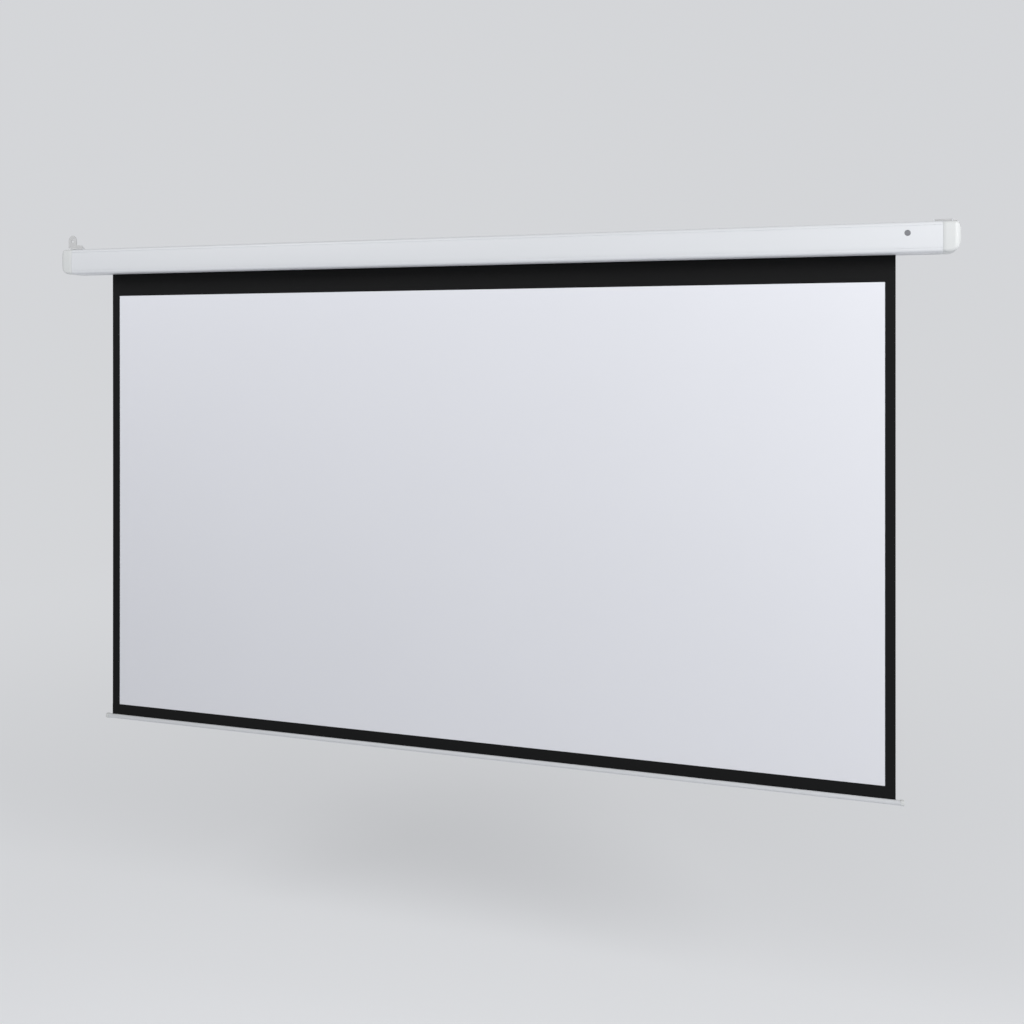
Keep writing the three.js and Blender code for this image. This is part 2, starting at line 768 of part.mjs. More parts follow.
function buildGears() {
  const pitch = (teeth) => (teeth * gearModule) / 2;
  const centre = pitch(sunTeeth) + pitch(planetTeeth);
  const external = (teeth) => {
    const middle = pitch(teeth);
    return toothed(teeth, [middle - gearDedendum, middle, middle + gearAddendum], gearPlay);
  };
  const bored = (teeth, bore, turn) =>
    cut(
      alongX(external(teeth), gearWidth).rotateX(turn),
      moved(rod(bore, gearWidth + 2 * overrun), -overrun),
    );
  place(rollerAxis, 'sun_gear', bored(sunTeeth, shaftRadius + gap, 0), 'steel', gearStart);
  const ringPitch = pitch(ringTeeth);
  const hollow = toothed(ringTeeth, [ringPitch - gearAddendum, ringPitch + gearDedendum], -gearPlay);
  const ring = cut(
    rod(innerRadius, ringWidth, roundSteps),
    moved(alongX(hollow, ringWidth + 2 * overrun), -overrun),
  );
  place(rollerAxis, 'ring_gear', ring, 'greyPlastic', ringStart);

  const pinPlaces = [];
  for (let i = 0; i < planets; i += 1) {
    const angle = (i * 2 * Math.PI) / planets;
    const [y, z] = [-centre * Math.sin(angle), centre * Math.cos(angle)];
    pinPlaces.push([y, z]);
    const planet = bored(planetTeeth, planetPinRadius + gap, angle);
    place(rollerAxis, `planet_gear_${i + 1}`, planet, 'brass', gearStart, y, z);
  }
  const pins = pinPlaces.map(([y, z]) =>
    moved(rod(planetPinRadius, carrierThick + gap + gearWidth), 0, y, z),
  );
  const hexStart = wheelStart - carrierStart;
  const roundStart = hexStart + driveWheelLength;
  const hex = (radius, length) => alongX(polygon(radius, hexSides), length);
  const carrier = joined(
    rod(centre + planetPinRadius + carrierRim, carrierThick, roundSteps),
    ...pins,
    moved(rod(outputRadius, carrierThick / 2 - roundStart), roundStart),
    moved(hex(outputRadius, driveWheelLength + motorSpacing), hexStart),
  );
  place(rollerAxis, 'planet_carrier', carrier, 'steel', carrierStart);
  const wheel = cut(
    rod(insertRadius, driveWheelLength, roundSteps),
    notch(-overrun, driveWheelLength + overrun),
    moved(hex(outputRadius + 2 * gap, driveWheelLength + 2 * overrun), -overrun),
  );
  place(rollerAxis, 'drive_wheel', wheel, 'greyPlastic', wheelStart);
}

function buildLimitSwitches() {
  const unitBottom = -headRadius;
  const [length, width] = [switchLength / 2, switchWidth / 2];
  const hole = alongZ(disc(limitShank + gap), limitShankLength + overrun, smallSteps);
  const holeBottom = unitBottom + gap - overrun;
  const holes = limitPlaces.map((x) => moved(hole, x - switchMiddle, 0, holeBottom));
  const unit = cut(
    block([-length, -width, unitBottom], [length, width, unitBottom + switchHeight]),
    ...holes,
  );
  place(rollerAxis, 'limit_switch_unit', unit, 'greyPlastic', switchMiddle);
  const knobBottom = -gap - limitKnobLength;
  const knob = alongZ(disc(limitKnobRadius), limitKnobLength, smallSteps);
  const shank = alongZ(disc(limitShank), limitShankLength + gap, smallSteps);
  const socket = alongZ(polygon(limitSocket, hexSides), limitSocketDepth + overrun);
  const screw = cut(
    joined(moved(knob, 0, 0, knobBottom), moved(shank, 0, 0, -2 * gap)),
    moved(socket, 0, 0, knobBottom - overrun),
  );
  const names = ['down', 'up'];
  limitPlaces.forEach((x, i) => {
    place(rollerAxis, `limit_screw_${names[i]}`, screw, 'amber', x, 0, unitBottom);
  });
}

function buildBoard() {
  const boardStart = boardEnd - boardLength;
  const firstRelay = headFace + gap - boardStart;
  const relays = Array.from({ length: relayCount }, (_, i) => {
    const x = firstRelay + i * (relayLength + relaySpacing);
    return block([x, -gap, -relayWidth / 2], [x + relayLength, relayHeight, relayWidth / 2]);
  });
  const notchHalf = sensorSide / 2 + gap;
  const sensorX = windowX - boardStart;
  const board = cut(
    joined(
      block([0, -boardThick, -boardHalfHeight], [boardLength, 0, boardHalfHeight]),
      ...relays,
    ),
    block(
      [sensorX - notchHalf, -overrun, windowZ - notchHalf],
      [sensorX + notchHalf, overrun, windowZ + notchHalf],
    ),
  );
  place(model, 'control_board', board, 'board', boardStart, boardBack);
}

function buildReceiver() {
  const windowBack = windowFace + windowThick;
  const lens = alongY(disc(windowRadius), windowThick, roundSteps);
  place(model, 'receiver_window', lens, 'windowDark', windowX, windowBack, windowZ);
  const side = sensorSide / 2;
  const sensor = block([-side, 0, -side], [side, sensorDepth, side]);
  place(model, 'infrared_sensor', sensor, 'blackPlastic', windowX, windowBack + gap, windowZ);
}

function buildSupply() {
  const terminalX = boardEnd - terminalLength;
  const terminalY = rollerY - terminalDepth;
  const terminalZ = half - caseWall - gap - terminalHeight;
  const hole = alongZ(disc(terminalHole), overrun + terminalSink, fewSteps);
  const holes = terminalShares.map((share) =>
    moved(hole, share * terminalLength, terminalDepth / 2, -overrun),
  );
  const terminal = cut(block([0, 0, 0], [terminalLength, terminalDepth, terminalHeight]), ...holes);
  place(model, 'terminal_block', terminal, 'greyPlastic', terminalX, terminalY, terminalZ);
  const tucked = caseWall + gap + capacitorRadius;
  place(
    model,
    'run_capacitor',
    rod(capacitorRadius, capacitorLength, roundSteps),
    'greyPlastic',
    boardEnd - capacitorLength,
    -tucked,
    half - tucked,
  );
  const inner = -capWall - grommetInside;
  const outer = gap + grommetFlangeThick;
  const grommet = turned(
    [
      [inner, grommetBore],
      [inner, grommetBody],
      [gap, grommetBody],
      [gap, grommetFlange],
      [outer, grommetFlange],
      [outer, grommetBore],
      [inner, grommetBore],
    ],
    barSteps,
  );
  place(model, 'cable_grommet', grommet, 'rubber', endX, -grommetFromBack, grommetZ);
}

function buildScreen() {
  const fabric = block([-fabricHalf, -fabricThick / 2, viewBottom], [fabricHalf, fabricThick / 2, 0]);
  place(model, 'screen_fabric', fabric, 'screenBlack', 0, fabricY);
  const coat = block([-viewWidth / 2, -coatThick, -viewHeight], [viewWidth / 2, 0, 0]);
  place(model, 'viewing_surface', coat, 'screenWhite', 0, fabricFront - gap, viewTop);
}

function buildBar() {
  const tubeHalf = fabricHalf + barBeyondFabric;
  const bore = barRadius - barWall;
  const side = barMouth / 2;
  const length = 2 * tubeHalf;
  const tube = cut(
    pipe(barRadius, bore, length, barSteps),
    block([-overrun, -side, 0], [length + overrun, side, barRadius + overrun]),
  );
  place(barAxis, 'weight_bar', tube, 'barWhite', -tubeHalf);
  const cap = turned(
    [
      [-barCapSpigot, 0],
      [-barCapSpigot, bore - gap],
      [gap, bore - gap],
      [gap, barCapRadius],
      [barCapLength - barCapRound, barCapRadius],
      [barCapLength, barCapRadius - barCapRound],
      [barCapLength, 0],
    ],
    barSteps,
  );
  place(barAxis, 'bar_cap_right', cap, 'capWhite', tubeHalf);
  place(barAxis, 'bar_cap_left', cap.clone().rotateZ(Math.PI), 'capWhite', -tubeHalf);

  const loopBore = hemRodRadius + gap;
  const loopRadius = loopBore + fabricThick;
  const stripHalf = fabricThick / 2;
  const stripTop = viewBottom - gap - barZ;
  const strip = block([0, -stripHalf, loopBore + stripHalf], [2 * fabricHalf, stripHalf, stripTop]);
  const loop = pipe(loopRadius, loopBore, 2 * fabricHalf, smallSteps);
  place(barAxis, 'hem_strip', joined(loop, strip), 'screenBlack', -fabricHalf);
  const rodHalf = fabricHalf - hemRodShort;
  place(barAxis, 'hem_rod', rod(hemRodRadius, 2 * rodHalf), 'steel', -rodHalf);
}

function buildHangers() {
  const knuckle = hangerPinRadius + gap + knuckleWall;
  const baseBottom = -knuckle - gap - baseThick;
  const baseTop = baseBottom + baseThick;
  const axisHeight = gap - baseBottom;
  const baseLength = hangerInner - hangerOuter;
  const earGap = earThick + gap;
  const bore = rod(hangerPinRadius + gap, baseLength + 2 * overrun);
  const ear = (x) =>
    joined(
      moved(rod(knuckle, earThick), x),
      block([x, -knuckle, baseTop - baseThick / 2], [x + earThick, knuckle, 0]),
    );
  const base = cut(
    joined(
      block([0, -baseWidth / 2, baseBottom], [baseLength, baseWidth / 2, baseTop]),
      ear(0),
      ear(baseLength - earThick),
    ),
    moved(bore, -overrun),
  );

  const side = eyeThick / 2;
  const eyeX = hangerFromEnd - hangerOuter;
  const eyeZ = eyeHeight - axisHeight - eyeCrown;
  const foot = knuckle + gap;
  const shoulderEnd = baseLength - earGap;
  const shoulderTop = shoulderHeight - axisHeight;
  const shoulder = outline([
    [eyeX, 0],
    [shoulderEnd, 0],
    [shoulderEnd, shoulderTop, shoulderRound],
    [eyeX, shoulderTop],
  ]);
  const hole = alongY(disc(eyeHoleRadius), eyeThick + 2 * overrun, smallSteps);
  const tongue = alongY(tongueOutline(eyeX, eyeZ, foot), eyeThick, smallSteps);
  const eye = cut(
    joined(
      moved(tongue, 0, side),
      moved(alongY(shoulder, eyeThick), 0, side),
      block([earGap, -side, 0], [eyeX + eyeRadius, side, foot + gap]),
      moved(rod(knuckle, baseLength - 2 * earGap), earGap),
    ),
    moved(bore, -overrun),
    moved(hole, eyeX, side + overrun, eyeZ),
  );
  const headEnd = -gap - hangerPinHeadThick;
  const pin = turned(
    [
      [headEnd, 0],
      [headEnd, hangerPinHead],
      [-gap, hangerPinHead],
      [-gap, hangerPinRadius],
      [baseLength + gap, hangerPinRadius],
      [baseLength + gap, 0],
    ],
    smallSteps,
  );
  const leftX = -endX + hangerOuter;
  const axisZ = half + axisHeight;
  place(model, 'hanger_base_left', base, 'caseWhite', leftX, rollerY, axisZ);
  place(model, 'hanger_eye_left', eye, 'zinc', leftX, rollerY, axisZ);
  place(model, 'hanger_pin_left', pin, 'zinc', leftX, rollerY, axisZ);
  place(model, 'hanger_base_right', mirrored(base), 'caseWhite', -leftX, rollerY, axisZ);
  place(model, 'hanger_pin_right', pin.clone().rotateZ(Math.PI), 'zinc', -leftX, rollerY, axisZ);
  const folded = mirrored(eye).rotateX(-Math.PI / 2);
  place(model, 'hanger_eye_right', folded, 'zinc', -leftX, rollerY, axisZ);
}

// The upright part of a hanger: straight sides and a crown that rises higher than a half circle.
function tongueOutline(x, z, foot) {
  const shape = new THREE.Shape();
  shape.moveTo(x - eyeRadius, foot);
  shape.lineTo(x + eyeRadius, foot);
  shape.absellipse(x, z, eyeRadius, eyeCrown, 0, Math.PI);
  shape.closePath();
  return shape;
}

buildCase();
buildCaps();
buildRoller();
buildIdler();
buildMotor();
buildGears();
buildLimitSwitches();
buildBoard();
buildReceiver();
buildSupply();
buildScreen();
buildBar();
buildHangers();

export default model;
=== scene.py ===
"""The looks of a motorized projector screen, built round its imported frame, in metres."""

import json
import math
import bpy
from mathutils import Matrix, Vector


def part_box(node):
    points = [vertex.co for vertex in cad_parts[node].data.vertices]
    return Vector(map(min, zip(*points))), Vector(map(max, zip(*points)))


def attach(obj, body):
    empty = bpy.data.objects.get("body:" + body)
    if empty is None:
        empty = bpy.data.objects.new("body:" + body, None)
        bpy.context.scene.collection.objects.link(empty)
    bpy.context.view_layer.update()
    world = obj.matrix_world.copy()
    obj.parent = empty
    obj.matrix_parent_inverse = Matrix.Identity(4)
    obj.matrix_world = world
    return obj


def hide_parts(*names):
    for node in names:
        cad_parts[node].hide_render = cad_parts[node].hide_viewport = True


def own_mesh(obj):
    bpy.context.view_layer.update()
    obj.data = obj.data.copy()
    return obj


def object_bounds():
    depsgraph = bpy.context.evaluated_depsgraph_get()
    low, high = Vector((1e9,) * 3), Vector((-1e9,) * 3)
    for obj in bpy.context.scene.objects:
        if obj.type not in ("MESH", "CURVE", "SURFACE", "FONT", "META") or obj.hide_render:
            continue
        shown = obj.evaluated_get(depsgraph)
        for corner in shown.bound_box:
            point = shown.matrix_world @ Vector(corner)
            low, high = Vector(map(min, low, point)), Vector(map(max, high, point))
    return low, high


bl_info = {
    "name": "Projector Screen",
    "version": (1, 0, 0),
    "blender": (4, 5, 0),
    "location": "View3D > Sidebar > Screen",
    "description": "Builds a motorized projector screen: case, caps, cloth, weight bar and hangers",
    "category": "Add Mesh",
}

import bmesh
import bpy
from bpy.props import FloatProperty, FloatVectorProperty, IntProperty, PointerProperty
from mathutils import Matrix, Vector

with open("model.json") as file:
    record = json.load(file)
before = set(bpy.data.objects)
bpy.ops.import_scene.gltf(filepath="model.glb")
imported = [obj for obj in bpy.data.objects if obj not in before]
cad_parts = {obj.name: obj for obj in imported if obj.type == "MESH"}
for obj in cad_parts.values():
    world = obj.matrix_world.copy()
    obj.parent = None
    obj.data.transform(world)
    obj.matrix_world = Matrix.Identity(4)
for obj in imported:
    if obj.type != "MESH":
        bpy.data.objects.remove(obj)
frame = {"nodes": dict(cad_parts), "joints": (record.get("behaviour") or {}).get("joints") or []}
CAD_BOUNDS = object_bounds()

MM = 0.001
X_AXIS = Vector((1, 0, 0))
Y_AXIS = Vector((0, 1, 0))
Z_AXIS = Vector((0, 0, 1))
UPRIGHT = Matrix.Rotation(math.pi / 2, 3, "X")
SHARP = math.radians(35)
JOINTS = {joint["name"]: joint for joint in frame["joints"]}

# Places that come from the frame
CASE_LOW, CASE_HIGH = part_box("case_shell")
CLOTH_LOW, CLOTH_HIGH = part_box("screen_fabric")
COAT_LOW, COAT_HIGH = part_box("viewing_surface")
BAR_LOW, BAR_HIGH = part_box("weight_bar")
ROLLER_AXIS = Vector(JOINTS["roller_spin"]["pos_m"])
HALF = CASE_HIGH.z
SEAM = CASE_HIGH.x
CLOTH_Y = (CLOTH_LOW.y + CLOTH_HIGH.y) / 2
BAR_Z = sum(corner.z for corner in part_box("bar_cap_left")) / 2

# Room between pieces, how far outside a piece long and short cutters start,
# small rounds, and one layer of cloth
GAP = 0.3 * MM
OVER = 5 * MM
OUTSIDE = 2 * MM
SOFT = 0.5 * MM
LAYER = 0.4 * MM

# The section of the case
CASE_WALL = 1.8 * MM
FRONT_BULGE = 2 * MM
FRONT_ROUND = 10 * MM
CORNER_ROUND = FRONT_ROUND - FRONT_BULGE
BACK_ROUND = 3 * MM
SLOT_WIDTH = 12 * MM
LIP_HEIGHT = 6.5 * MM
GROOVE_WIDTH = 2 * MM
GROOVE_DEPTH = 0.8 * MM
GROOVE_FROM_EDGE = 10 * MM
BOARD_THICK = 1.6 * MM
RAIL_THICK = 1.2 * MM
RAIL_OVERLAP = 1.5 * MM
RAIL_ROOM = 3 * MM
PORT_BORE = 1.9 * MM
PORT_WALL = 1.5 * MM
PORT_RADIUS = PORT_BORE + PORT_WALL
PORT_STEM = 5 * MM
PORT_MOUTH = 1.6 * MM
ACCESS_RADIUS = 3.5 * MM


def material_for(name):
    return bpy.data.materials[f"{name} finish"]


class ScreenShapes(bpy.types.PropertyGroup):
    """Sizes of the soft edges and of the small shapes that the frame leaves open."""

    edge: FloatProperty(
        name="Broken edge",
        description="Width of the broken edges on the hangers",
        default=0.0003,
        unit="LENGTH",
    )
    round_steps: IntProperty(
        name="Steps of a round",
        description="Faces round each corner of the case and its caps",
        default=8,
        min=2,
    )
    neck_depth: FloatProperty(
        name="Neck depth",
        description="How far the end cap is drawn in where it meets the case",
        default=0.0018,
        unit="LENGTH",
    )
    neck_length: FloatProperty(
        name="Neck length",
        description="How far along the end cap its drawn-in neck reaches",
        default=0.009,
        unit="LENGTH",
    )
    wave_height: FloatProperty(
        name="Cloth wave",
        description="Height of the shallow waves in the hanging cloth",
        default=0.0012,
        unit="LENGTH",
    )


class ScreenColours(bpy.types.PropertyGroup):
    """Colours of the finishes."""

    case: FloatVectorProperty(
        name="Case",
        description="Satin white paint of the case",
        default=(0.685, 0.70, 0.725),
        subtype="COLOR",
    )
    cap: FloatVectorProperty(
        name="End cap",
        description="Moulded white of the end caps",
        default=(0.64, 0.655, 0.655),
        subtype="COLOR",
    )
    coat: FloatVectorProperty(
        name="Viewing surface",
        description="Matt white coat of the cloth",
        default=(0.735, 0.745, 0.79),
        subtype="COLOR",
    )
    cloth: FloatVectorProperty(
        name="Black cloth",
        description="Black border and back of the cloth",
        default=(0.0035, 0.0036, 0.0038),
        subtype="COLOR",
    )
    zinc: FloatVectorProperty(
        name="Zinc",
        description="Zinc plate of the hangers and screws",
        default=(0.56, 0.56, 0.56),
        subtype="COLOR",
    )
    window: FloatVectorProperty(
        name="Receiver window",
        description="Dark plastic in front of the receiver",
        default=(0.20, 0.205, 0.22),
        subtype="COLOR",
    )


class ScreenStage(bpy.types.PropertyGroup):
    """The camera, the light and the floor."""

    lens: FloatProperty(
        name="Lens",
        description="Focal length of the camera, for a 36 mm sensor",
        default=38.95,
        unit="CAMERA",
    )
    shift: FloatProperty(
        name="Shift",
        description="Upward shift of the frame, as a share of its side",
        default=-0.1528,
    )
    place: FloatVectorProperty(
        name="Camera",
        description="Place of the camera",
        default=(1.021, -2.903, -0.285),
        subtype="TRANSLATION",
        unit="LENGTH",
    )
    turn: FloatProperty(
        name="Turn",
        description="How far the camera is turned to the left",
        default=math.radians(16.9),
        subtype="ANGLE",
    )
    backdrop: FloatVectorProperty(
        name="Backdrop",
        description="Pale colour of the floor and of what is behind it",
        default=(0.66, 0.67, 0.69),
        subtype="COLOR",
    )
    world_level: FloatProperty(
        name="World level",
        description="Strength of the even light from all round",
        default=0.17,
    )
    key_power: FloatProperty(
        name="Key light",
        description="Power of the large soft lamp at the right",
        default=135.0,
        unit="POWER",
    )
    fill_power: FloatProperty(
        name="Fill light",
        description="Power of the soft lamp at the left",
        default=40.0,
        unit="POWER",
    )
    floor_drop: FloatProperty(
        name="Floor drop",
        description="Height of the object above the floor",
        default=0.7,
        unit="LENGTH",
    )


class Shade:
    """A shader socket. Sums on it add Math nodes, and make() adds any other node."""

    def __init__(self, tree, socket=None):
        self.tree = tree
        self.socket = socket

    def make(self, kind, settings=(), inputs=(), output=0):
        """A node's output, once its settings and its sockets' values or links are set."""
        node = self.tree.nodes.new(kind)
        for name, value in dict(settings).items():
            setattr(node, name, value)
        for key, value in dict(inputs).items():
            if isinstance(value, Shade):
                self.tree.links.new(value.socket, node.inputs[key])
            else:
                node.inputs[key].default_value = value
        return Shade(self.tree, node.outputs[output])

    def math(self, operation, *values):
        return self.make("ShaderNodeMath", {"operation": operation}, dict(enumerate(values)))

    def __add__(self, other):
        return self.math("ADD", self, other)

    __radd__ = __add__

    def __sub__(self, other):
        return self.math("SUBTRACT", self, other)

    def __rsub__(self, other):
        return self.math("SUBTRACT", other, self)

    def __mul__(self, other):
        return self.math("MULTIPLY", self, other)

    __rmul__ = __mul__

    def __gt__(self, other):
        return self.math("GREATER_THAN", self, other)

    def sine(self, length):
        """A wave between 0 and 1 that repeats after a length."""
        return 0.5 + 0.5 * self.math("SINE", self * (2 * math.pi / length))

    def part(self, axis):
        return self.make("ShaderNodeSeparateXYZ", inputs={0: self}, output=axis)

    def scaled(self, scale):
        return self.make("ShaderNodeMapping", inputs={"Vector": self, "Scale": scale})

    def noise(self, size, detail, stretch=(1, 1, 1)):
        """Noise between 0 and 1 whose blots are about a size across."""
        inputs = {"Vector": self.scaled(stretch), "Scale": 1 / size, "Detail": detail}
        return self.make("ShaderNodeTexNoise", inputs=inputs)

    def cells(self, size):
        return self.make("ShaderNodeTexVoronoi", inputs={"Vector": self, "Scale": 1 / size})

    def mix(self, first, second):
        """A colour between two, by this value."""
        settings = {"data_type": "RGBA"}
        ends = {6: opaque(first), 7: opaque(second)}
        return self.make("ShaderNodeMix", settings, {0: self, **ends}, output=2)

    def bump(self, depth):
        """A normal whose surface stands up to a depth proud where this value is 1."""
        inputs = {"Strength": 1.0, "Distance": depth, "Height": self}
        return self.make("ShaderNodeBump", inputs=inputs)


def opaque(colour):
    if isinstance(colour, Shade):
        return colour
    return (*colour, 1)


def toned(colour, factor):
    return tuple(min(1.0, part * factor) for part in colour)


def finish(
    name, colour, pattern, roughness, metallic=0.0, *, tone, depth=0.0, coords="Object", **even
):
    """Makes a material whose tone, gloss and relief follow a pattern of its coordinates.

    pattern takes the coordinates and gives two values between 0 and 1: broad and fine.
    even holds values for more sockets of the shader.
    """
    sway = 0.06
    material = bpy.data.materials.new(f"{name} finish")
    material.use_nodes = True
    tree = material.node_tree
    shader = tree.nodes["Principled BSDF"]
    shade = Shade(tree)
    place = shade.make("ShaderNodeTexCoord", output=coords)
    broad, fine = pattern(place)
    base = broad.mix(toned(colour, 1 - tone), toned(colour, 1 + tone))
    gloss = roughness - sway + 2 * sway * fine
    tree.links.new(base.socket, shader.inputs["Base Color"])
    tree.links.new(gloss.socket, shader.inputs["Roughness"])
    if depth:
        tree.links.new(fine.bump(depth).socket, shader.inputs["Normal"])
    shader.inputs["Metallic"].default_value = metallic
    for socket, value in even.items():
        shader.inputs[socket.replace("_", " ")].default_value = value


def orange_peel(place):
    """Sprayed paint on a drawn section: faint streaks along it and a soft peel."""
    streaks = place.noise(0.012, 3, (0.02, 1, 1))
    peel = place.noise(0.0022, 1.5)
    return 0.5 * streaks + 0.5 * place.noise(0.35, 2), peel


def moulded(place):
    return place.noise(0.05, 3), place.noise(0.0009, 2)


def rolled(place):
    """Plated sheet steel: mottled, with fine scratches one way."""
    return place.noise(0.006, 4), place.noise(0.0012, 3, (0.15, 1, 1))


def drawn(place):
    """Metal drawn or turned along X."""
    return place.noise(0.004, 4, (0.05, 1, 1)), place.noise(0.0006, 2, (0.02, 1, 1))


def woven(place):
    """Coated cloth: the threads show faintly through the coat."""
    pitch = 0.0016
    threads = place.part(0).sine(pitch) * place.part(1).sine(pitch)
    return place.noise(0.5, 3), 0.5 * threads + 0.5 * place.noise(0.003, 3)


def wound(place):
    """Copper wire wound side by side along X."""
    return place.noise(0.01, 2), place.part(0).sine(0.0008)


def printed(place):
    """A circuit board: tracks and islands under green lacquer."""
    islands = place.cells(0.004) > 0.42
    return islands, place.noise(0.001, 2)


def rubbed(place):
    return place.noise(0.01, 2), place.noise(0.0007, 3)


def make_materials(colours):
    black = {"tone": 0.15, "depth": 0.00006, "coords": "UV", "Specular_IOR_Level": 0.16}
    finish("case_paint", colours.case, orange_peel, 0.42, tone=0.012, depth=0.00003)
    finish("cap_plastic", colours.cap, moulded, 0.46, tone=0.012, depth=0.00003)
    finish("screen_coat", colours.coat, woven, 0.86, tone=0.012, depth=0.00005, coords="UV")
    finish("black_cloth", colours.cloth, woven, 0.75, **black)
    finish("zinc_plate", colours.zinc, rolled, 0.5, 0.9, tone=0.08, depth=0.00003)
    finish("bar_paint", toned(colours.case, 0.92), orange_peel, 0.38, tone=0.02, depth=0.00003)
    finish("window_plastic", colours.window, moulded, 0.16, tone=0.05)
    finish("steel", (0.42, 0.43, 0.45), drawn, 0.38, 1.0, tone=0.1, depth=0.00002)
    finish("aluminium", (0.52, 0.54, 0.56), drawn, 0.34, 1.0, tone=0.06, depth=0.00002)
    finish("brass", (0.50, 0.36, 0.11), drawn, 0.34, 1.0, tone=0.08, depth=0.00001)
    finish("copper", (0.42, 0.16, 0.06), wound, 0.40, 1.0, tone=0.1, depth=0.0002)
    finish("black_plastic", (0.014, 0.014, 0.015), moulded, 0.5, tone=0.1, depth=0.00003)
    finish("grey_plastic", (0.26, 0.28, 0.30), moulded, 0.52, tone=0.04, depth=0.00003)
    finish("amber_plastic", (0.66, 0.44, 0.05), moulded, 0.4, tone=0.05, depth=0.00002)
    finish("circuit_board", (0.03, 0.13, 0.055), printed, 0.45, tone=0.3, depth=0.00004)
    finish("rubber", (0.02, 0.02, 0.021), rubbed, 0.7, tone=0.15, depth=0.00005)


INNER_FINISHES = {
    "steel": "end_plate_left end_plate_right idler_pin motor_tube rotor_bearing_rear "
    "rotor_bearing_front rotor sun_gear planet_carrier hem_rod",
    "zinc_plate": "hanger_pin_left hanger_pin_right",
    "black_plastic": "motor_head infrared_sensor",
    "grey_plastic": "fabric_spline idler_plug crown_ring drive_wheel ring_gear limit_switch_unit "
    "run_capacitor terminal_block",
    "aluminium": "roller_tube",
    "brass": "idler_bush nose_bush planet_gear_1 planet_gear_2 planet_gear_3",
    "copper": "stator brake_coil",
    "circuit_board": "control_board",
    "amber_plastic": "limit_screw_down limit_screw_up",
}


def piece_from(bm, name, body, nodes, materials, edge=0.0):
    """Makes a bmesh a finished piece that rides on a body and stands for CAD nodes.

    Its sharp edges stay sharp, or are broken by the width given as edge.
    """
    for face in bm.faces:
        face.smooth = True
    for line in bm.edges:
        line.smooth = line.calc_face_angle(0) < SHARP
    mesh = bpy.data.meshes.new(name)
    bm.to_mesh(mesh)
    bm.free()
    for material in materials:
        mesh.materials.append(material_for(material))
    piece = bpy.data.objects.new(name, mesh)
    bpy.context.collection.objects.link(piece)
    if edge:
        soften = piece.modifiers.new("Broken edges", "BEVEL")
        soften.width = edge
        soften.segments = 2
        soften.limit_method = "ANGLE"
        soften.angle_limit = SHARP
        soften.harden_normals = True
    else:
        even = piece.modifiers.new("Even normals", "WEIGHTED_NORMAL")
        even.keep_sharp = True
    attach(piece, body)
    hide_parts(*nodes)
    return piece


def outward(bm):
    bmesh.ops.recalc_face_normals(bm, faces=bm.faces)
    return bm


def combined(bm, tools, operation="DIFFERENCE"):
    """The shape less the tools, or joined with them. All the bmeshes are used up."""
    close = 2e-6
    for tool in tools:
        parts = []
        for shape in (bm, tool):
            mesh = bpy.data.meshes.new("shape")
            outward(shape).to_mesh(mesh)
            shape.free()
            part = bpy.data.objects.new("shape", mesh)
            bpy.context.collection.objects.link(part)
            parts.append(part)
        modifier = parts[0].modifiers.new("Boolean", "BOOLEAN")
        modifier.operation = operation
        modifier.solver = "EXACT"
        modifier.object = parts[1]
        bm = bmesh.new()
        bm.from_object(parts[0], bpy.context.evaluated_depsgraph_get())
        for part in parts:
            mesh = part.data
            bpy.data.objects.remove(part)
            bpy.data.meshes.remove(mesh)
    bmesh.ops.remove_doubles(bm, verts=bm.verts, dist=close)
    bmesh.ops.dissolve_degenerate(bm, edges=bm.edges, dist=close)
    return bm


def outline_face(bm, corners, steps):
    """A face through corners (point, radius), each rounded by its radius."""
    verts = [bm.verts.new(point) for point, _ in corners]
    bm.faces.new(verts)
    for radius in sorted({radius for _, radius in corners if radius}):
        picked = [vert for vert, (_, own) in zip(verts, corners) if own == radius]
        bmesh.ops.bevel(
            bm,
            geom=picked,
            offset=radius,
            offset_type="OFFSET",
            segments=steps,
            profile=0.5,
            affect="VERTICES",
            material=-1,
        )


def shift_made(bm, made, along):
    """Moves what an extrusion has just made along a vector."""
    verts = [item for item in made["geom"] if isinstance(item, bmesh.types.BMVert)]
    bmesh.ops.translate(bm, vec=along, verts=verts)


def thicken(bm, along):
    """Draws all the faces of a flat shape out along a vector."""
    shift_made(bm, bmesh.ops.extrude_face_region(bm, geom=bm.faces[:]), along)


def extruded(corners, along, steps):
    """A body with an outline, drawn out along a vector."""
    bm = bmesh.new()
    outline_face(bm, corners, steps)
    thicken(bm, along)
    return outward(bm)


def turned(profile, centre, axis, steps=48, ring=False):
    """A body turned about an axis through a centre, from points (place along it, radius)."""
    bm = bmesh.new()
    side = Z_AXIS if axis.z == 0 else X_AXIS
    verts = [bm.verts.new(centre + axis * along + side * radius) for along, radius in profile]
    edges = [bm.edges.new(pair) for pair in zip(verts, verts[1:])]
    if ring:
        edges.append(bm.edges.new((verts[-1], verts[0])))
    bmesh.ops.spin(
        bm,
        geom=verts + edges,
        cent=centre,
        axis=axis,
        angle=2 * math.pi,
        steps=steps,
        use_merge=True,
    )
    bmesh.ops.remove_doubles(bm, verts=bm.verts, dist=1e-6)
    return outward(bm)


def rod(radius, start, along, steps=48):
    """A plain rod from a point along a vector, for cuts and joins."""
    length = along.length
    profile = [(0, 0), (0, radius), (length, radius), (length, 0)]
    return turned(profile, start, along / length, steps)


def block(low, high):
    low, high = Vector(low), Vector(high)
    bm = bmesh.new()
    bmesh.ops.create_cube(bm, size=1)
    bmesh.ops.scale(bm, vec=high - low, verts=bm.verts)
    bmesh.ops.translate(bm, vec=(high + low) / 2, verts=bm.verts)
    return bm


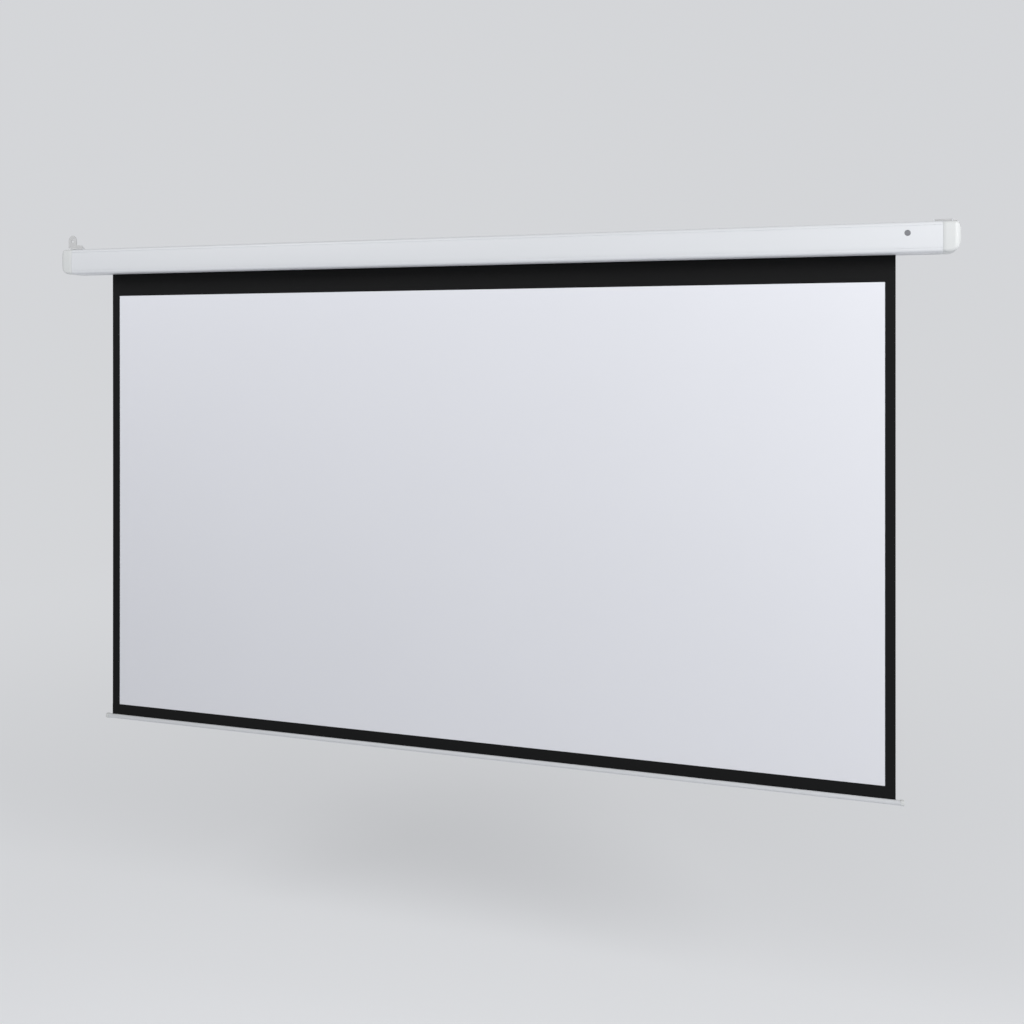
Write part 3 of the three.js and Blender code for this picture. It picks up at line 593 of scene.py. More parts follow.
def case_front(z, inset=0.0):
    """The front of the case is a gentle curve, fullest at mid-height."""
    return CASE_LOW.y + inset + FRONT_BULGE * (z / HALF) ** 2


def front_points(top, bottom, inset, count):
    """Points down the curved front, from top to bottom."""
    steps = [top + (bottom - top) * i / count for i in range(count + 1)]
    return [((case_front(z, inset), z), 0) for z in steps]


def groove(z):
    """The four corners of a small groove across the front, upwards."""
    side = GROOVE_WIDTH / 2
    deep = case_front(z) + GROOVE_DEPTH
    return [
        ((case_front(z - side), z - side), 0),
        ((deep, z - side), 0),
        ((deep, z + side), 0),
        ((case_front(z + side), z + side), 0),
    ]


def rail(side):
    """A hooked rail on the inner front wall that holds the circuit board, downwards."""
    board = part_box("control_board")
    near = side * (board[1].z + GAP)
    far = near + side * RAIL_THICK
    tip = near - side * RAIL_OVERLAP
    hook = board[0].y + BOARD_THICK + GAP
    hook_back = hook + RAIL_THICK
    corners = [
        ((case_front(far, CASE_WALL), far), 0),
        ((hook_back, far), 0),
        ((hook_back, tip), 0),
        ((hook, tip), 0),
        ((hook, near), 0),
        ((case_front(near, CASE_WALL), near), 0),
    ]
    return corners if side > 0 else corners[::-1]


def case_section():
    """The section of the case as one closed outline of (y, z) corners, with its slot open."""
    inner = HALF - CASE_WALL
    back = -CASE_WALL
    slot_front = CLOTH_Y - SLOT_WIDTH / 2
    slot_back = CLOTH_Y + SLOT_WIDTH / 2
    lip_top = -HALF + LIP_HEIGHT
    groove_z = HALF - GROOVE_FROM_EDGE
    straight = groove_z - 2 * GROOVE_WIDTH
    corner_y = case_front(HALF)
    inner_y = case_front(HALF, CASE_WALL)
    outside = [
        ((slot_front, -HALF), SOFT),
        ((corner_y, -HALF), CORNER_ROUND),
        *groove(-groove_z),
        *front_points(-straight, straight, 0, count=12),
        *groove(groove_z),
        ((corner_y, HALF), CORNER_ROUND),
        ((0, HALF), BACK_ROUND),
        ((0, -HALF), BACK_ROUND),
        ((slot_back, -HALF), SOFT),
    ]
    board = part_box("control_board")[1].z
    beyond = board + RAIL_ROOM
    between = board - RAIL_ROOM
    inside = [
        ((slot_back, lip_top), SOFT),
        ((slot_back + CASE_WALL, lip_top), SOFT),
        ((slot_back + CASE_WALL, -inner), SOFT),
        ((back, -inner), BACK_ROUND - CASE_WALL),
        ((back, inner), BACK_ROUND - CASE_WALL),
        ((inner_y, inner), CORNER_ROUND - CASE_WALL),
        *front_points(inner - FRONT_ROUND, beyond, CASE_WALL, count=2),
        *rail(1),
        *front_points(between, -between, CASE_WALL, count=8),
        *rail(-1),
        *front_points(-beyond, FRONT_ROUND - inner, CASE_WALL, count=2),
        ((inner_y, -inner), CORNER_ROUND - CASE_WALL),
        ((slot_front - CASE_WALL, -inner), SOFT),
        ((slot_front - CASE_WALL, lip_top), SOFT),
        ((slot_front, lip_top), SOFT),
    ]
    return outside + inside


def placed(section, x):
    """The corners ((y, z), radius) of a section, put at a place along X."""
    return [(Vector((x, y, z)), radius) for (y, z), radius in section]


def screw_port(level, side):
    """Centre of a screw port in the case, and the way from its wall to it along Y."""
    low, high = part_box(f"cap_screw_{side}_{level}")
    centre = (low + high) / 2
    return centre, 1 if level == "upper" else -1


def port_shapes(level):
    """The ring and stem of a screw port along the case, then its bore and mouth."""
    centre, inward = screw_port(level, "right")
    start = Vector((-SEAM, *centre.yz))
    ring = rod(PORT_RADIUS, start, 2 * SEAM * X_AXIS, steps=32)
    side = PORT_WALL / 2
    stem_end = centre.y - inward * (PORT_RADIUS + PORT_STEM)
    near, far = sorted((centre.y - inward * (PORT_BORE + side), stem_end))
    stem = block((-SEAM, near, centre.z - side), (SEAM, far, centre.z + side))
    bore = rod(PORT_BORE, start - OVER * X_AXIS, 2 * (SEAM + OVER) * X_AXIS, steps=24)
    near, far = sorted((centre.y, centre.y + inward * (PORT_RADIUS + OVER)))
    side = PORT_MOUTH / 2
    mouth = block((-SEAM - OVER, near, centre.z - side), (SEAM + OVER, far, centre.z + side))
    return [ring, stem], [bore, mouth]


class SCREEN_OT_camera(bpy.types.Operator):
    """Place the camera where the photograph was taken from"""

    bl_idname = "projector_screen.camera"
    bl_label = "Camera"

    def execute(self, context):
        stage = context.scene.screen_stage
        data = bpy.data.cameras.new("camera")
        data.sensor_width = 36
        data.lens = stage.lens
        data.shift_y = stage.shift
        camera = bpy.data.objects.new("camera", data)
        camera.location = stage.place
        camera.rotation_euler = (math.pi / 2, 0, stage.turn)
        context.collection.objects.link(camera)
        context.scene.camera = camera
        return {"FINISHED"}


class SCREEN_OT_finishes(bpy.types.Operator):
    """Make the materials and give the inner pieces theirs"""

    bl_idname = "projector_screen.finishes"
    bl_label = "Finishes"

    def execute(self, context):
        make_materials(context.scene.screen_colours)
        for name, nodes in INNER_FINISHES.items():
            for node in nodes.split():
                piece = frame["nodes"][node]
                if not piece.material_slots:
                    piece.data.materials.append(None)
                for place in piece.material_slots:
                    place.link = "OBJECT"
                    place.material = material_for(name)
        return {"FINISHED"}


class SCREEN_OT_case(bpy.types.Operator):
    """Draw out the case, and cut the window and the holes for the limit screws"""

    bl_idname = "projector_screen.case"
    bl_label = "Case"

    def execute(self, context):
        shapes = context.scene.screen_shapes
        section = placed(case_section(), -SEAM)
        shell = extruded(section, 2 * SEAM * X_AXIS, shapes.round_steps)
        window_low, window_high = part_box("receiver_window")
        middle = (window_low + window_high) / 2
        radius = (window_high.x - window_low.x) / 2 + GAP
        front = Vector((middle.x, CASE_LOW.y - OVER, middle.z))
        tools = [rod(radius, front, 2 * OVER * Y_AXIS)]
        for name in ("limit_down_turn", "limit_up_turn"):
            place = Vector(JOINTS[name]["pos_m"])
            below = Vector((place.x, place.y, CASE_LOW.z - OUTSIDE))
            tools.append(rod(ACCESS_RADIUS, below, OVER * Z_AXIS, steps=32))
        solid = []
        for level in ("upper", "lower"):
            added, removed = port_shapes(level)
            solid += added
            tools += removed
        shell = combined(combined(shell, solid, "UNION"), tools)
        piece_from(shell, "case_body", "housing", ["case_shell"], ["case_paint"])
        return {"FINISHED"}


CAP_WALL = 2.2 * MM
CAP_TOP_ROUND = 14 * MM
CAP_BOTTOM_ROUND = 27 * MM
CAP_FRONT_ROUND = 15 * MM
CAP_BACK_ROUND = 4 * MM
CAP_ROUNDS = (CAP_TOP_ROUND, CAP_BOTTOM_ROUND, CAP_FRONT_ROUND, CAP_BACK_ROUND)
CAP_STEPS = 9
NECK_STATIONS = (0, 1.5 * MM, 3 * MM, 4.5 * MM, 6 * MM, 8.7 * MM)
BOSS_RADIUS = 4.9 * MM
BOSS_START = 3 * MM
BOSS_LENGTH = 50 * MM
SEAT_RADIUS = 3.5 * MM
INLET_RADIUS = 5.8 * MM
THROUGH = 20 * MM
SCREW_HEAD = 2.2 * MM


def drawn_in(x, end, radius):
    """How far a rounded end has drawn in at x, when its round reaches the end."""
    along = x - (end - radius)
    if along <= 0:
        return 0.0
    return radius - math.sqrt(max(0.0, radius * radius - along * along))


def cap_loop(bm, x, end, inset, shapes):
    """One closed section of an end cap at x from the seam. Returns its edges."""
    neck = 0.0 if inset else max(0.0, 1 - x / shapes.neck_length)
    inward = inset + shapes.neck_depth * neck * neck
    top = HALF - inward - drawn_in(x, end, CAP_TOP_ROUND - inset)
    bottom = -HALF + inward + drawn_in(x, end, CAP_BOTTOM_ROUND - inset)
    front = inward + drawn_in(x, end, CAP_FRONT_ROUND - inset)
    back = -inward - drawn_in(x, end, CAP_BACK_ROUND - inset)
    middle = (top + bottom) / 2
    reach = (top - bottom) / 2
    corner = min(CORNER_ROUND - inward, 0.6 * reach)
    straight = reach - 1.2 * corner
    curve = [middle + straight * share for share in (1, 0.5, 0, -0.5, -1)]
    corners = [
        ((back, bottom), BACK_ROUND - inward),
        ((back, top), BACK_ROUND - inward),
        ((case_front(reach, front), top), corner),
        *[((case_front(z - middle, front), z), 0) for z in curve],
        ((case_front(reach, front), bottom), corner),
    ]
    before = set(bm.edges)
    outline_face(bm, placed(corners, x), shapes.round_steps)
    return [edge for edge in bm.edges if edge not in before]


def cap_stations(start, end, inset):
    """Places along the cap for its sections, closer together where it curves."""
    least = 0.1 * MM
    places = {start + station for station in NECK_STATIONS}
    for radius in CAP_ROUNDS:
        for i in range(CAP_STEPS + 1):
            places.add(end - (radius - inset) * (1 - math.sin(i * math.pi / 2 / CAP_STEPS)))
    kept = []
    for place in sorted(places):
        if start <= place and (not kept or place - kept[-1] > least):
            kept.append(place)
    kept[-1] = end
    return kept


def cap_solid(shapes, start, end, inset=0.0):
    """An end cap as a solid, drawn in all round by an inset."""
    bm = bmesh.new()
    loops = [cap_loop(bm, x, end, inset, shapes) for x in cap_stations(start, end, inset)]
    ends = [loop[0].link_faces[0] for loop in (loops[0], loops[-1])]
    spare = [face for face in bm.faces if face not in ends]
    bmesh.ops.delete(bm, geom=spare, context="FACES_ONLY")
    for near, far in zip(loops, loops[1:]):
        bmesh.ops.bridge_loops(bm, edges=near + far)
    return outward(bm)


class SCREEN_OT_caps(bpy.types.Operator):
    """Shape the two end caps and bore them for the screws and the cable"""

    bl_idname = "projector_screen.caps"
    bl_label = "End caps"

    def execute(self, context):
        shapes = context.scene.screen_shapes
        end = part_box("end_cap_right")[1].x - SEAM
        for side, name in ((1, "right"), (-1, "left")):
            hollow = cap_solid(shapes, -OVER, end - CAP_WALL, CAP_WALL)
            bosses = []
            bores = []
            for level in ("upper", "lower"):
                low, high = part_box(f"cap_screw_right_{level}")
                centre = (low + high) / 2
                axis = Vector((BOSS_START, *centre.yz))
                bosses.append(rod(BOSS_RADIUS, axis, BOSS_LENGTH * X_AXIS, steps=32))
                seat = Vector((high.x - SEAM - SCREW_HEAD - GAP, *centre.yz))
                bores.append(rod(SEAT_RADIUS, seat, THROUGH * X_AXIS, steps=32))
                bores.append(rod(PORT_BORE, axis - OVER * X_AXIS, BOSS_LENGTH * X_AXIS, steps=24))
            if side > 0:
                low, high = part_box("cable_grommet")
                centre = (low + high) / 2
                start = Vector((end - THROUGH / 2, *centre.yz))
                bores.append(rod(INLET_RADIUS, start, THROUGH * X_AXIS))
            hollow = combined(hollow, bosses)
            shell = combined(cap_solid(shapes, GAP, end), [hollow, *bores])
            if side < 0:
                bmesh.ops.scale(shell, vec=(-1, 1, 1), verts=shell.verts)
            bmesh.ops.translate(shell, vec=side * SEAM * X_AXIS, verts=shell.verts)
            outward(shell)
            cap = f"end_cap_{name}"
            piece_from(shell, f"{cap}_cover", "housing", [cap], ["cap_plastic"])
        return {"FINISHED"}


def cloth_wave(x, z, height):
    """How far the hanging cloth stands back from its plane, away from the roller.

    The waves fade out at the roller and at the bar. Their lengths are in radians
    to a metre.
    """
    broad, narrow = 5.1, 11.3
    share = z / CLOTH_LOW.z
    swell = math.sin(math.pi * min(1.0, max(0.0, share))) ** 0.8
    ripple = math.sin(broad * x + 0.7) + 0.5 * math.sin(narrow * x + 2.0 * share)
    return height * swell * (0.5 + ripple / 3)


def lay_flat(bm, rule=lambda point: (point.x, point.z)):
    """Gives cloth a UV map in metres, by a rule that lays its points flat."""
    uv = bm.loops.layers.uv.new("cloth")
    for face in bm.faces:
        for loop in face.loops:
            loop[uv].uv = rule(loop.vert.co)


class SCREEN_OT_cloth(bpy.types.Operator):
    """Hang the cloth with its white viewing surface and black border"""

    bl_idname = "projector_screen.cloth"
    bl_label = "Cloth"

    def execute(self, context):
        shapes = context.scene.screen_shapes
        width = CLOTH_HIGH.x - CLOTH_LOW.x
        height = CLOTH_HIGH.z - CLOTH_LOW.z
        thick = CLOTH_HIGH.y - CLOTH_LOW.y
        bm = bmesh.new()
        bmesh.ops.create_grid(bm, x_segments=96, y_segments=48, size=0.5)
        bmesh.ops.scale(bm, vec=(width, height, 1), verts=bm.verts)
        bmesh.ops.rotate(bm, cent=(0, 0, 0), matrix=UPRIGHT, verts=bm.verts)
        bmesh.ops.translate(bm, vec=(0, CLOTH_LOW.y, CLOTH_LOW.z + height / 2), verts=bm.verts)
        cuts = [
            ((COAT_LOW.x, 0, 0), X_AXIS),
            ((COAT_HIGH.x, 0, 0), X_AXIS),
            ((0, 0, COAT_HIGH.z), Z_AXIS),
        ]
        for place, normal in cuts:
            geometry = bm.verts[:] + bm.edges[:] + bm.faces[:]
            bmesh.ops.bisect_plane(bm, geom=geometry, dist=1e-6, plane_co=place, plane_no=normal)
        for face in bm.faces:
            middle = face.calc_center_median()
            inside = abs(middle.x) < COAT_HIGH.x and middle.z < COAT_HIGH.z
            face.material_index = 1 if inside else 0
            if face.normal.y > 0:
                face.normal_flip()
        for vert in bm.verts:
            vert.co.y += cloth_wave(vert.co.x, vert.co.z, shapes.wave_height)
        bmesh.ops.solidify(bm, geom=bm.faces[:], thickness=thick)
        for face in bm.faces:
            if face.normal.y > -0.5:
                face.material_index = 0
        lay_flat(bm)
        cloth = piece_from(
            bm,
            "screen_cloth",
            "housing",
            ["screen_fabric", "viewing_surface"],
            ["black_cloth", "screen_coat"],
        )
        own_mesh(cloth)
        return {"FINISHED"}


class SCREEN_OT_roll(bpy.types.Operator):
    """Wind the turns of cloth that stay on the roller"""

    bl_idname = "projector_screen.roll"
    bl_label = "Cloth on the roller"

    def execute(self, context):
        low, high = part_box("fabric_turns")
        radius = (high.z - low.z) / 2
        profile = [(low.x, radius - 3 * LAYER), (low.x, radius - LAYER / 2)]
        profile += [(low.x + LAYER / 2, radius), (high.x - LAYER / 2, radius)]
        profile += [(high.x, radius - LAYER / 2), (high.x, radius - 3 * LAYER)]
        centre = Vector((0, *ROLLER_AXIS.yz))

        def unwound(point):
            offset = point - centre
            return point.x, radius * math.atan2(offset.z, offset.y)

        bm = turned(profile, centre, X_AXIS, steps=96, ring=True)
        lay_flat(bm, unwound)
        piece_from(bm, "fabric_roll", "roller", ["fabric_turns"], ["black_cloth"])
        return {"FINISHED"}


BAR_WALL = 1.2 * MM
HALF_MOUTH = 1 * MM
HEM_RADIUS = 2.8 * MM
PLUG = {"depth": 8 * MM, "lip": 1 * MM, "edge": 0.6 * MM, "round": 3 * MM, "steps": 8}


class SCREEN_OT_bar(bpy.types.Operator):
    """Shape the weight bar, its end caps and the hem that it hangs on"""

    bl_idname = "projector_screen.bar"
    bl_label = "Weight bar and hem"

    def execute(self, context):
        self.hem()
        self.tube()
        self.caps()
        return {"FINISHED"}

    def hem(self):
        """The strip comes down from the cloth and goes round the hem rod."""
        low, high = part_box("hem_strip")
        first, sweep, steps = 80, 345, 24
        heights = [CLOTH_LOW.z, *(BAR_Z + HEM_RADIUS + rise * MM for rise in (20, 12, 4))]
        points = [Vector((low.x, CLOTH_Y, height)) for height in heights]
        for i in range(steps + 1):
            angle = math.radians(first - sweep * i / steps)
            offset = HEM_RADIUS * Vector((0, math.cos(angle), math.sin(angle)))
            points.append(Vector((low.x, CLOTH_Y, BAR_Z)) + offset)
        bm = bmesh.new()
        verts = [bm.verts.new(point) for point in points]
        edges = [bm.edges.new(pair) for pair in zip(verts, verts[1:])]
        made = bmesh.ops.extrude_edge_only(bm, edges=edges)
        shift_made(bm, made, (high.x - low.x) * X_AXIS)
        bmesh.ops.solidify(bm, geom=bm.faces[:], thickness=LAYER)
        bmesh.ops.translate(bm, vec=(0, -LAYER / 2, 0), verts=bm.verts)
        outward(bm)
        lay_flat(bm)
        hem = piece_from(bm, "cloth_hem", "bar", ["hem_strip"], ["black_cloth"])

    def tube(self):
        radius = (BAR_HIGH.y - BAR_LOW.y) / 2
        bore = radius - BAR_WALL
        mouth = math.asin(HALF_MOUTH / radius)
        centre = Vector((BAR_LOW.x, CLOTH_Y, BAR_Z))
        bm = bmesh.new()
        start = Matrix.Rotation(mouth, 3, "X")
        verts = [bm.verts.new(centre + start @ (r * Z_AXIS)) for r in (bore, radius)]
        edge = bm.edges.new(verts)
        bmesh.ops.spin(
            bm,
            geom=verts + [edge],
            cent=centre,
            axis=X_AXIS,
            angle=2 * math.pi - 2 * mouth,
            steps=48,
        )
        thicken(bm, (BAR_HIGH.x - BAR_LOW.x) * X_AXIS)
        outward(bm)
        piece_from(bm, "weight_bar_tube", "bar", ["weight_bar"], ["bar_paint"])

    def caps(self):
        for side, name in ((1, "right"), (-1, "left")):
            node = f"bar_cap_{name}"
            low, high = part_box(node)
            radius = (high.z - low.z) / 2
            length = high.x - low.x
            inner = radius - PLUG["lip"] - BAR_WALL - GAP
            face = PLUG["depth"] + GAP
            profile = [(0, 0), (0, inner), (face, inner), (face, radius - PLUG["edge"])]
            profile.append((face + PLUG["edge"], radius))
            for i in range(PLUG["steps"] + 1):
                angle = i * math.pi / 2 / PLUG["steps"]
                along = length - PLUG["round"] * (1 - math.sin(angle))
                profile.append((along, radius - PLUG["round"] * (1 - math.cos(angle))))
            profile.append((length, 0))
            start = Vector((low.x if side > 0 else high.x, CLOTH_Y, BAR_Z))
            bm = turned(profile, start, side * X_AXIS)
            piece_from(bm, f"{node}_plug", "bar", [node], ["cap_plastic"])


BASE = {
    "thick": 1.2 * MM,
    "ear": 2.5 * MM,
    "knuckle": 2.6 * MM,
    "pin": 1.7 * MM,
    "round": 3 * MM,
}
EYE = {
    "radius": 14.2 * MM,
    "crown": 18 * MM,
    "thick": 2.5 * MM,
    "hole": 4.25 * MM,
    "shoulder": 15 * MM,
    "round": 9 * MM,
    "overlap": 1 * MM,
}
HOLE_CUT = 12 * MM
PIN_CUT = 80 * MM


class SCREEN_OT_hangers(bpy.types.Operator):
    """Shape the folding hanger eyes and the bases that they turn on"""

    bl_idname = "projector_screen.hangers"
    bl_label = "Hangers"

    def execute(self, context):
        edge = context.scene.screen_shapes.edge
        eye_low, eye_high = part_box("hanger_eye_left")
        base_low, base_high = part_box("hanger_base_left")
        pivot = Vector(JOINTS["hanger_left_fold"]["pos_m"])
        pivot.x = base_low.x
        for side, name in ((-1, "left"), (1, "right")):
            eye = self.eye(eye_low, eye_high, base_high, pivot)
            base = self.base(base_low, base_high, pivot)
            if side > 0:
                turn = Matrix.Rotation(-math.pi / 2, 3, "X")
                bmesh.ops.rotate(eye, cent=pivot, matrix=turn, verts=eye.verts)
                for shape in (eye, base):
                    bmesh.ops.scale(shape, vec=(-1, 1, 1), verts=shape.verts)
            for part, shape, body, slot, material in (
                ("eye", eye, f"hanger_{name}", "zinc", "zinc_plate"),
                ("base", base, "housing", "case_paint", "case_paint"),
            ):
                node = f"hanger_{part}_{name}"
                piece_from(outward(shape), f"{node}_plate", body, [node], [material], edge)
        return {"FINISHED"}

    def tongue(self, centre, foot):
        """The upright part of an eye: straight sides and a crown higher than a half circle."""
        bm = bmesh.new()
        bmesh.ops.create_circle(bm, cap_ends=True, radius=1, segments=64)
        bmesh.ops.scale(bm, vec=(EYE["radius"], EYE["crown"], 1), verts=bm.verts)
        parts = bm.verts[:] + bm.edges[:] + bm.faces[:]
        cut = bmesh.ops.bisect_plane(bm, geom=parts, plane_no=Y_AXIS, clear_inner=True)["geom_cut"]
        lower = [item for item in cut if isinstance(item, bmesh.types.BMEdge)]
        made = bmesh.ops.extrude_edge_only(bm, edges=lower)
        shift_made(bm, made, (foot - centre.z) * Y_AXIS)
        thicken(bm, EYE["thick"] * Z_AXIS)
        bmesh.ops.rotate(bm, cent=(0, 0, 0), matrix=UPRIGHT, verts=bm.verts)
        bmesh.ops.translate(bm, vec=centre, verts=bm.verts)
        return outward(bm)

    def eye(self, low, high, base_high, pivot):
        """The left eye: its tongue and shoulder, on a barrel between the base's ears."""
        thick = EYE["thick"]
        front = pivot.y + thick / 2
        centre = Vector((low.x + EYE["radius"], front, high.z - EYE["crown"]))
        foot = pivot.z + BASE["knuckle"] + GAP
        inner_from = pivot.x + BASE["ear"] + GAP
        inner_to = base_high.x - BASE["ear"] - GAP
        shoulder_top = CASE_HIGH.z + EYE["shoulder"]
        shoulder = [
            (Vector((centre.x, front, pivot.z)), 0),
            (Vector((inner_to, front, pivot.z)), 0),
            (Vector((inner_to, front, shoulder_top)), EYE["round"]),
            (Vector((centre.x, front, shoulder_top)), 0),
        ]
        neck_top = (centre.x + EYE["radius"], front, foot + EYE["overlap"])
        neck = block((inner_from, front - thick, pivot.z), neck_top)
        start = Vector((inner_from, *pivot.yz))
        barrel = rod(BASE["knuckle"], start, (inner_to - inner_from) * X_AXIS)
        parts = [extruded(shoulder, -thick * Y_AXIS, steps=8), neck, barrel]
        plate = combined(self.tongue(centre, foot), parts, "UNION")
        hole = rod(EYE["hole"], centre + OVER * Y_AXIS, -HOLE_CUT * Y_AXIS)
        return combined(plate, [hole, self.pin_bore(pivot)])

    def base(self, low, high, pivot):
        """The left base: a plate with two ears that hold the pin."""
        thick, ear, side = BASE["thick"], BASE["ear"], BASE["knuckle"]
        corners = [(low.x, low.y), (high.x, low.y), (high.x, high.y), (low.x, high.y)]
        foot = [(Vector((x, y, low.z)), BASE["round"]) for x, y in corners]
        plate = extruded(foot, thick * Z_AXIS, steps=6)
        parts = []
        for start in (low.x, high.x - ear):
            parts.append(rod(side, Vector((start, *pivot.yz)), ear * X_AXIS))
            foot_low = (start, pivot.y - side, low.z + thick / 2)
            parts.append(block(foot_low, (start + ear, pivot.y + side, pivot.z)))
        return combined(combined(plate, parts, "UNION"), [self.pin_bore(pivot)])

    def pin_bore(self, pivot):
        start = Vector((pivot.x - OVER, *pivot.yz))
        return rod(BASE["pin"], start, PIN_CUT * X_AXIS)


GROMMET = {"lip": 2 * MM, "bore": 4 * MM, "flange": 1.5 * MM}
SCREW = {"shank": 1.6 * MM, "socket": 1.5 * MM, "socket_depth": 1.2 * MM}


class SCREEN_OT_fittings(bpy.types.Operator):
    """Make the receiver window, the cable grommet and the cap screws"""

    bl_idname = "projector_screen.fittings"
    bl_label = "Window, grommet and screws"

    def execute(self, context):
        self.window()
        self.grommet()
        for side in ("left", "right"):
            for level in ("upper", "lower"):
                self.screw(f"cap_screw_{side}_{level}", 1 if side == "right" else -1)
        return {"FINISHED"}

    def window(self):
        low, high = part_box("receiver_window")
        radius = (high.x - low.x) / 2
        depth = high.y - low.y
        centre = (low + high) / 2
        centre.y = high.y
        profile = [(0, 0), (0, radius), (depth - 2 * SOFT, radius)]
        profile += [(depth - SOFT, radius - SOFT / 2), (depth - SOFT / 2, radius - 2 * SOFT)]
        profile.append((depth - SOFT, radius - 3 * SOFT))
        for share in (0.75, 0.5, 0.25):
            profile.append((depth - SOFT * share * share, (radius - 3 * SOFT) * share))
        profile.append((depth, 0))
        bm = turned(profile, centre, -Y_AXIS, steps=64)
        piece_from(bm, "receiver_lens", "housing", ["receiver_window"], ["window_plastic"])

    def grommet(self):
        low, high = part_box("cable_grommet")
        radius = (high.z - low.z) / 2
        body = radius - GROMMET["lip"]
        bore = GROMMET["bore"]
        flange = high.x - GROMMET["flange"]
        profile = [
            (low.x, bore),
            (low.x, body - SOFT),
            (low.x + SOFT, body),
            (flange, body),
            (flange, radius - SOFT),
            (flange + SOFT, radius),
            (high.x - SOFT, radius),
            (high.x, radius - SOFT),
            (high.x, bore + SOFT),
            (high.x - SOFT, bore),
        ]
        centre = (low + high) / 2
        centre.x = 0
        bm = turned(profile, centre, X_AXIS, ring=True)
        piece_from(bm, "inlet_grommet", "housing", ["cable_grommet"], ["rubber"])

    def screw(self, node, side):
        low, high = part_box(node)
        head = (high.z - low.z) / 2
        length = high.x - low.x
        shank = SCREW["shank"]
        start = (low + high) / 2
        start.x = high.x if side > 0 else low.x
        inward = -side * X_AXIS
        profile = [
            (0, 0),
            (0, head - SOFT),
            (SOFT, head),
            (SCREW_HEAD, head),
            (SCREW_HEAD, shank),
            (length - shank, shank),
            (length, 0),
        ]
        screw = turned(profile, start, inward, steps=32)
        depth = OUTSIDE + SCREW["socket_depth"]
        socket = rod(SCREW["socket"], start - OUTSIDE * inward, depth * inward, steps=6)
        screw = combined(screw, [socket])
        piece_from(screw, f"{node}_head", "housing", [node], ["zinc_plate"])


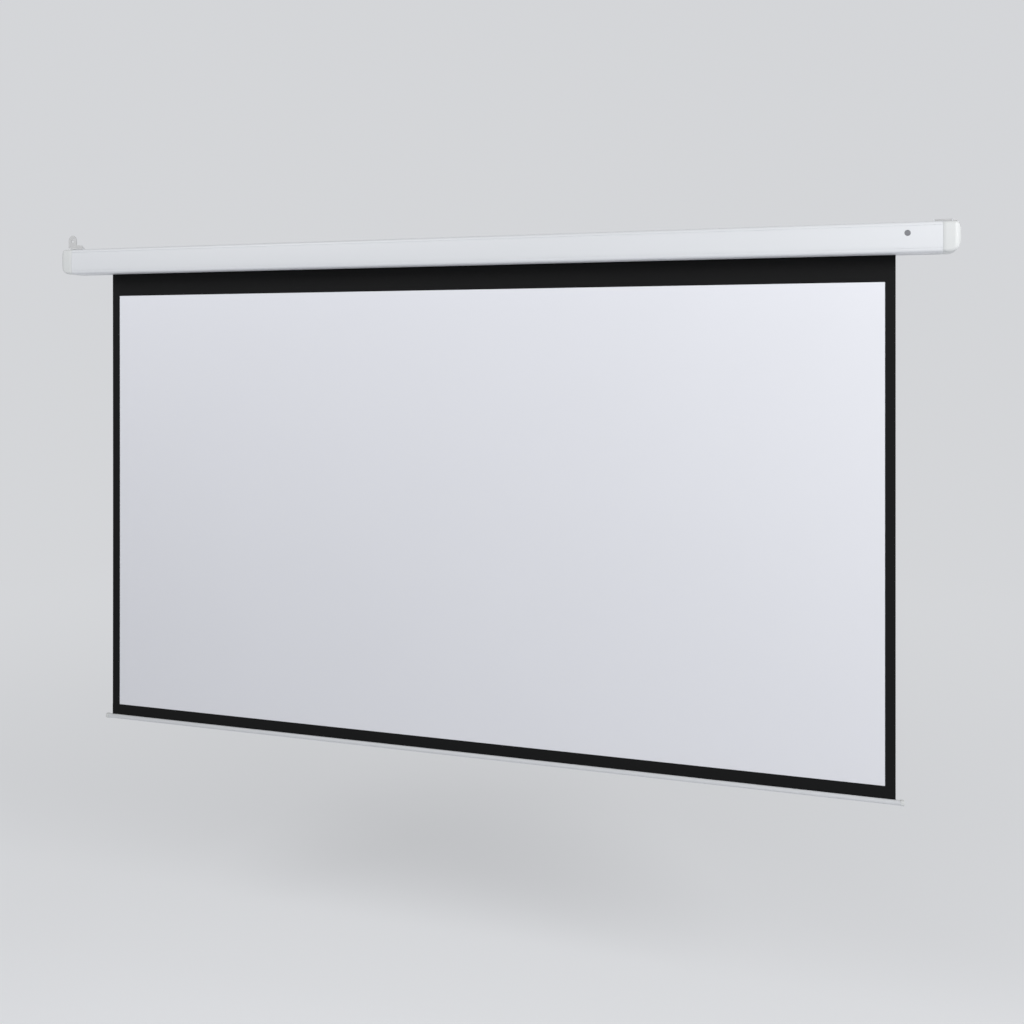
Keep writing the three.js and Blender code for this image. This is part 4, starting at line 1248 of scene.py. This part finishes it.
class SCREEN_OT_stage(bpy.types.Operator):
    """Lay the pale floor and set the soft light"""

    bl_idname = "projector_screen.stage"
    bl_label = "Stage"

    def execute(self, context):
        stage = context.scene.screen_stage
        self.floor(context, stage)
        self.world(context, stage)
        key, fill = (3.6, -2.6, 1.3), (-1.8, -2.4, 1.6)
        self.lamp(context, "key_light", place=key, size=2.0, power=stage.key_power)
        self.lamp(context, "fill_light", place=fill, size=1.6, power=stage.fill_power)
        context.scene.view_settings.view_transform = "Standard"
        return {"FINISHED"}

    def floor(self, context, stage):
        """A wide floor, lit near the object and given a painted glow there brighter than the
        backdrop, and glowing as bright as the backdrop far from it.
        """
        near, far, reach = 1.5, 7.0, 60
        lit, glowing = (1.26, 1.29), 1.4
        backdrop = stage.backdrop
        material = bpy.data.materials.new("floor")
        material.use_nodes = True
        tree = material.node_tree
        shader = tree.nodes["Principled BSDF"]
        shade = Shade(tree)
        place = shade.make("ShaderNodeTexCoord", output="Object")
        away = shade.make("ShaderNodeVectorMath", {"operation": "LENGTH"}, {0: place}, output=1)
        share = shade.make("ShaderNodeMapRange", inputs={0: away, 1: near, 2: far})
        # Painted glow: near the object the floor emits the backdrop colour made 1.4 times brighter,
        # a painted pool of light that also lights the case from below
        glow = share.mix(toned(backdrop, glowing), backdrop)
        shine = shade.make("ShaderNodeEmission", inputs={"Color": glow})
        edge = 0.5 + 0.5 * share
        tone = place.noise(0.8, 3).mix(*(toned(backdrop, factor) for factor in lit))
        tree.links.new(tone.socket, shader.inputs["Base Color"])
        shader.inputs["Roughness"].default_value = 0.9
        shader.inputs["Specular IOR Level"].default_value = 0.1
        inputs = {0: edge, 1: Shade(tree, shader.outputs[0]), 2: shine}
        both = shade.make("ShaderNodeMixShader", inputs=inputs)
        tree.links.new(both.socket, tree.nodes["Material Output"].inputs["Surface"])
        bm = bmesh.new()
        bmesh.ops.create_grid(bm, x_segments=4, y_segments=4, size=reach)
        mesh = bpy.data.meshes.new("floor")
        bm.to_mesh(mesh)
        bm.free()
        mesh.materials.append(material)
        floor = bpy.data.objects.new("floor", mesh)
        floor.location.z = CAD_BOUNDS[0].z - stage.floor_drop
        context.collection.objects.link(floor)

    def world(self, context, stage):
        """Even light from all round, seen as the backdrop by the camera and in gloss."""
        world = bpy.data.worlds.new("studio")
        context.scene.world = world
        world.use_nodes = True
        tree = world.node_tree
        light = tree.nodes["Background"]
        light.inputs["Color"].default_value = (1, 1, 1, 1)
        light.inputs["Strength"].default_value = stage.world_level
        shade = Shade(tree)
        seen = shade.make("ShaderNodeLightPath", output="Is Camera Ray")
        for name in ("Is Glossy Ray", "Is Transmission Ray"):
            seen = seen.math("MAXIMUM", seen, shade.make("ShaderNodeLightPath", output=name))
        view = shade.make("ShaderNodeBackground", inputs={"Color": opaque(stage.backdrop)})
        inputs = {0: seen, 1: Shade(tree, light.outputs[0]), 2: view}
        both = shade.make("ShaderNodeMixShader", inputs=inputs)
        tree.links.new(both.socket, tree.nodes["World Output"].inputs["Surface"])

    def lamp(self, context, name, place, size, power):
        data = bpy.data.lights.new(name, "AREA")
        data.shape = "DISK"
        data.size = size
        data.energy = power
        lamp = bpy.data.objects.new(name, data)
        lamp.location = place
        aim = Vector((0, 0, CLOTH_LOW.z / 2)) - lamp.location
        lamp.rotation_euler = aim.to_track_quat("-Z", "Y").to_euler()
        context.collection.objects.link(lamp)


class SCREEN_PT_panel(bpy.types.Panel):
    """Lists the steps that build the screen"""

    bl_idname = "SCREEN_PT_panel"
    bl_label = "Projector Screen"
    bl_space_type = "VIEW_3D"
    bl_region_type = "UI"
    bl_category = "Screen"

    def draw(self, context):
        for operator in OPERATORS:
            self.layout.operator(operator.bl_idname)


OPERATORS = (
    SCREEN_OT_camera,
    SCREEN_OT_finishes,
    SCREEN_OT_case,
    SCREEN_OT_caps,
    SCREEN_OT_roll,
    SCREEN_OT_bar,
    SCREEN_OT_cloth,
    SCREEN_OT_hangers,
    SCREEN_OT_fittings,
    SCREEN_OT_stage,
)
GROUPS = (ScreenShapes, ScreenColours, ScreenStage)


def register():
    for item in (*GROUPS, *OPERATORS, SCREEN_PT_panel):
        bpy.utils.register_class(item)
    bpy.types.Scene.screen_shapes = PointerProperty(type=ScreenShapes)
    bpy.types.Scene.screen_colours = PointerProperty(type=ScreenColours)
    bpy.types.Scene.screen_stage = PointerProperty(type=ScreenStage)


def unregister():
    del bpy.types.Scene.screen_stage
    del bpy.types.Scene.screen_colours
    del bpy.types.Scene.screen_shapes
    for item in reversed((*GROUPS, *OPERATORS, SCREEN_PT_panel)):
        bpy.utils.unregister_class(item)


def main():
    register()
    for operator in OPERATORS:
        step = operator.bl_idname.removeprefix("projector_screen.")
        getattr(bpy.ops.projector_screen, step)()


if __name__ == "__main__":
    main()
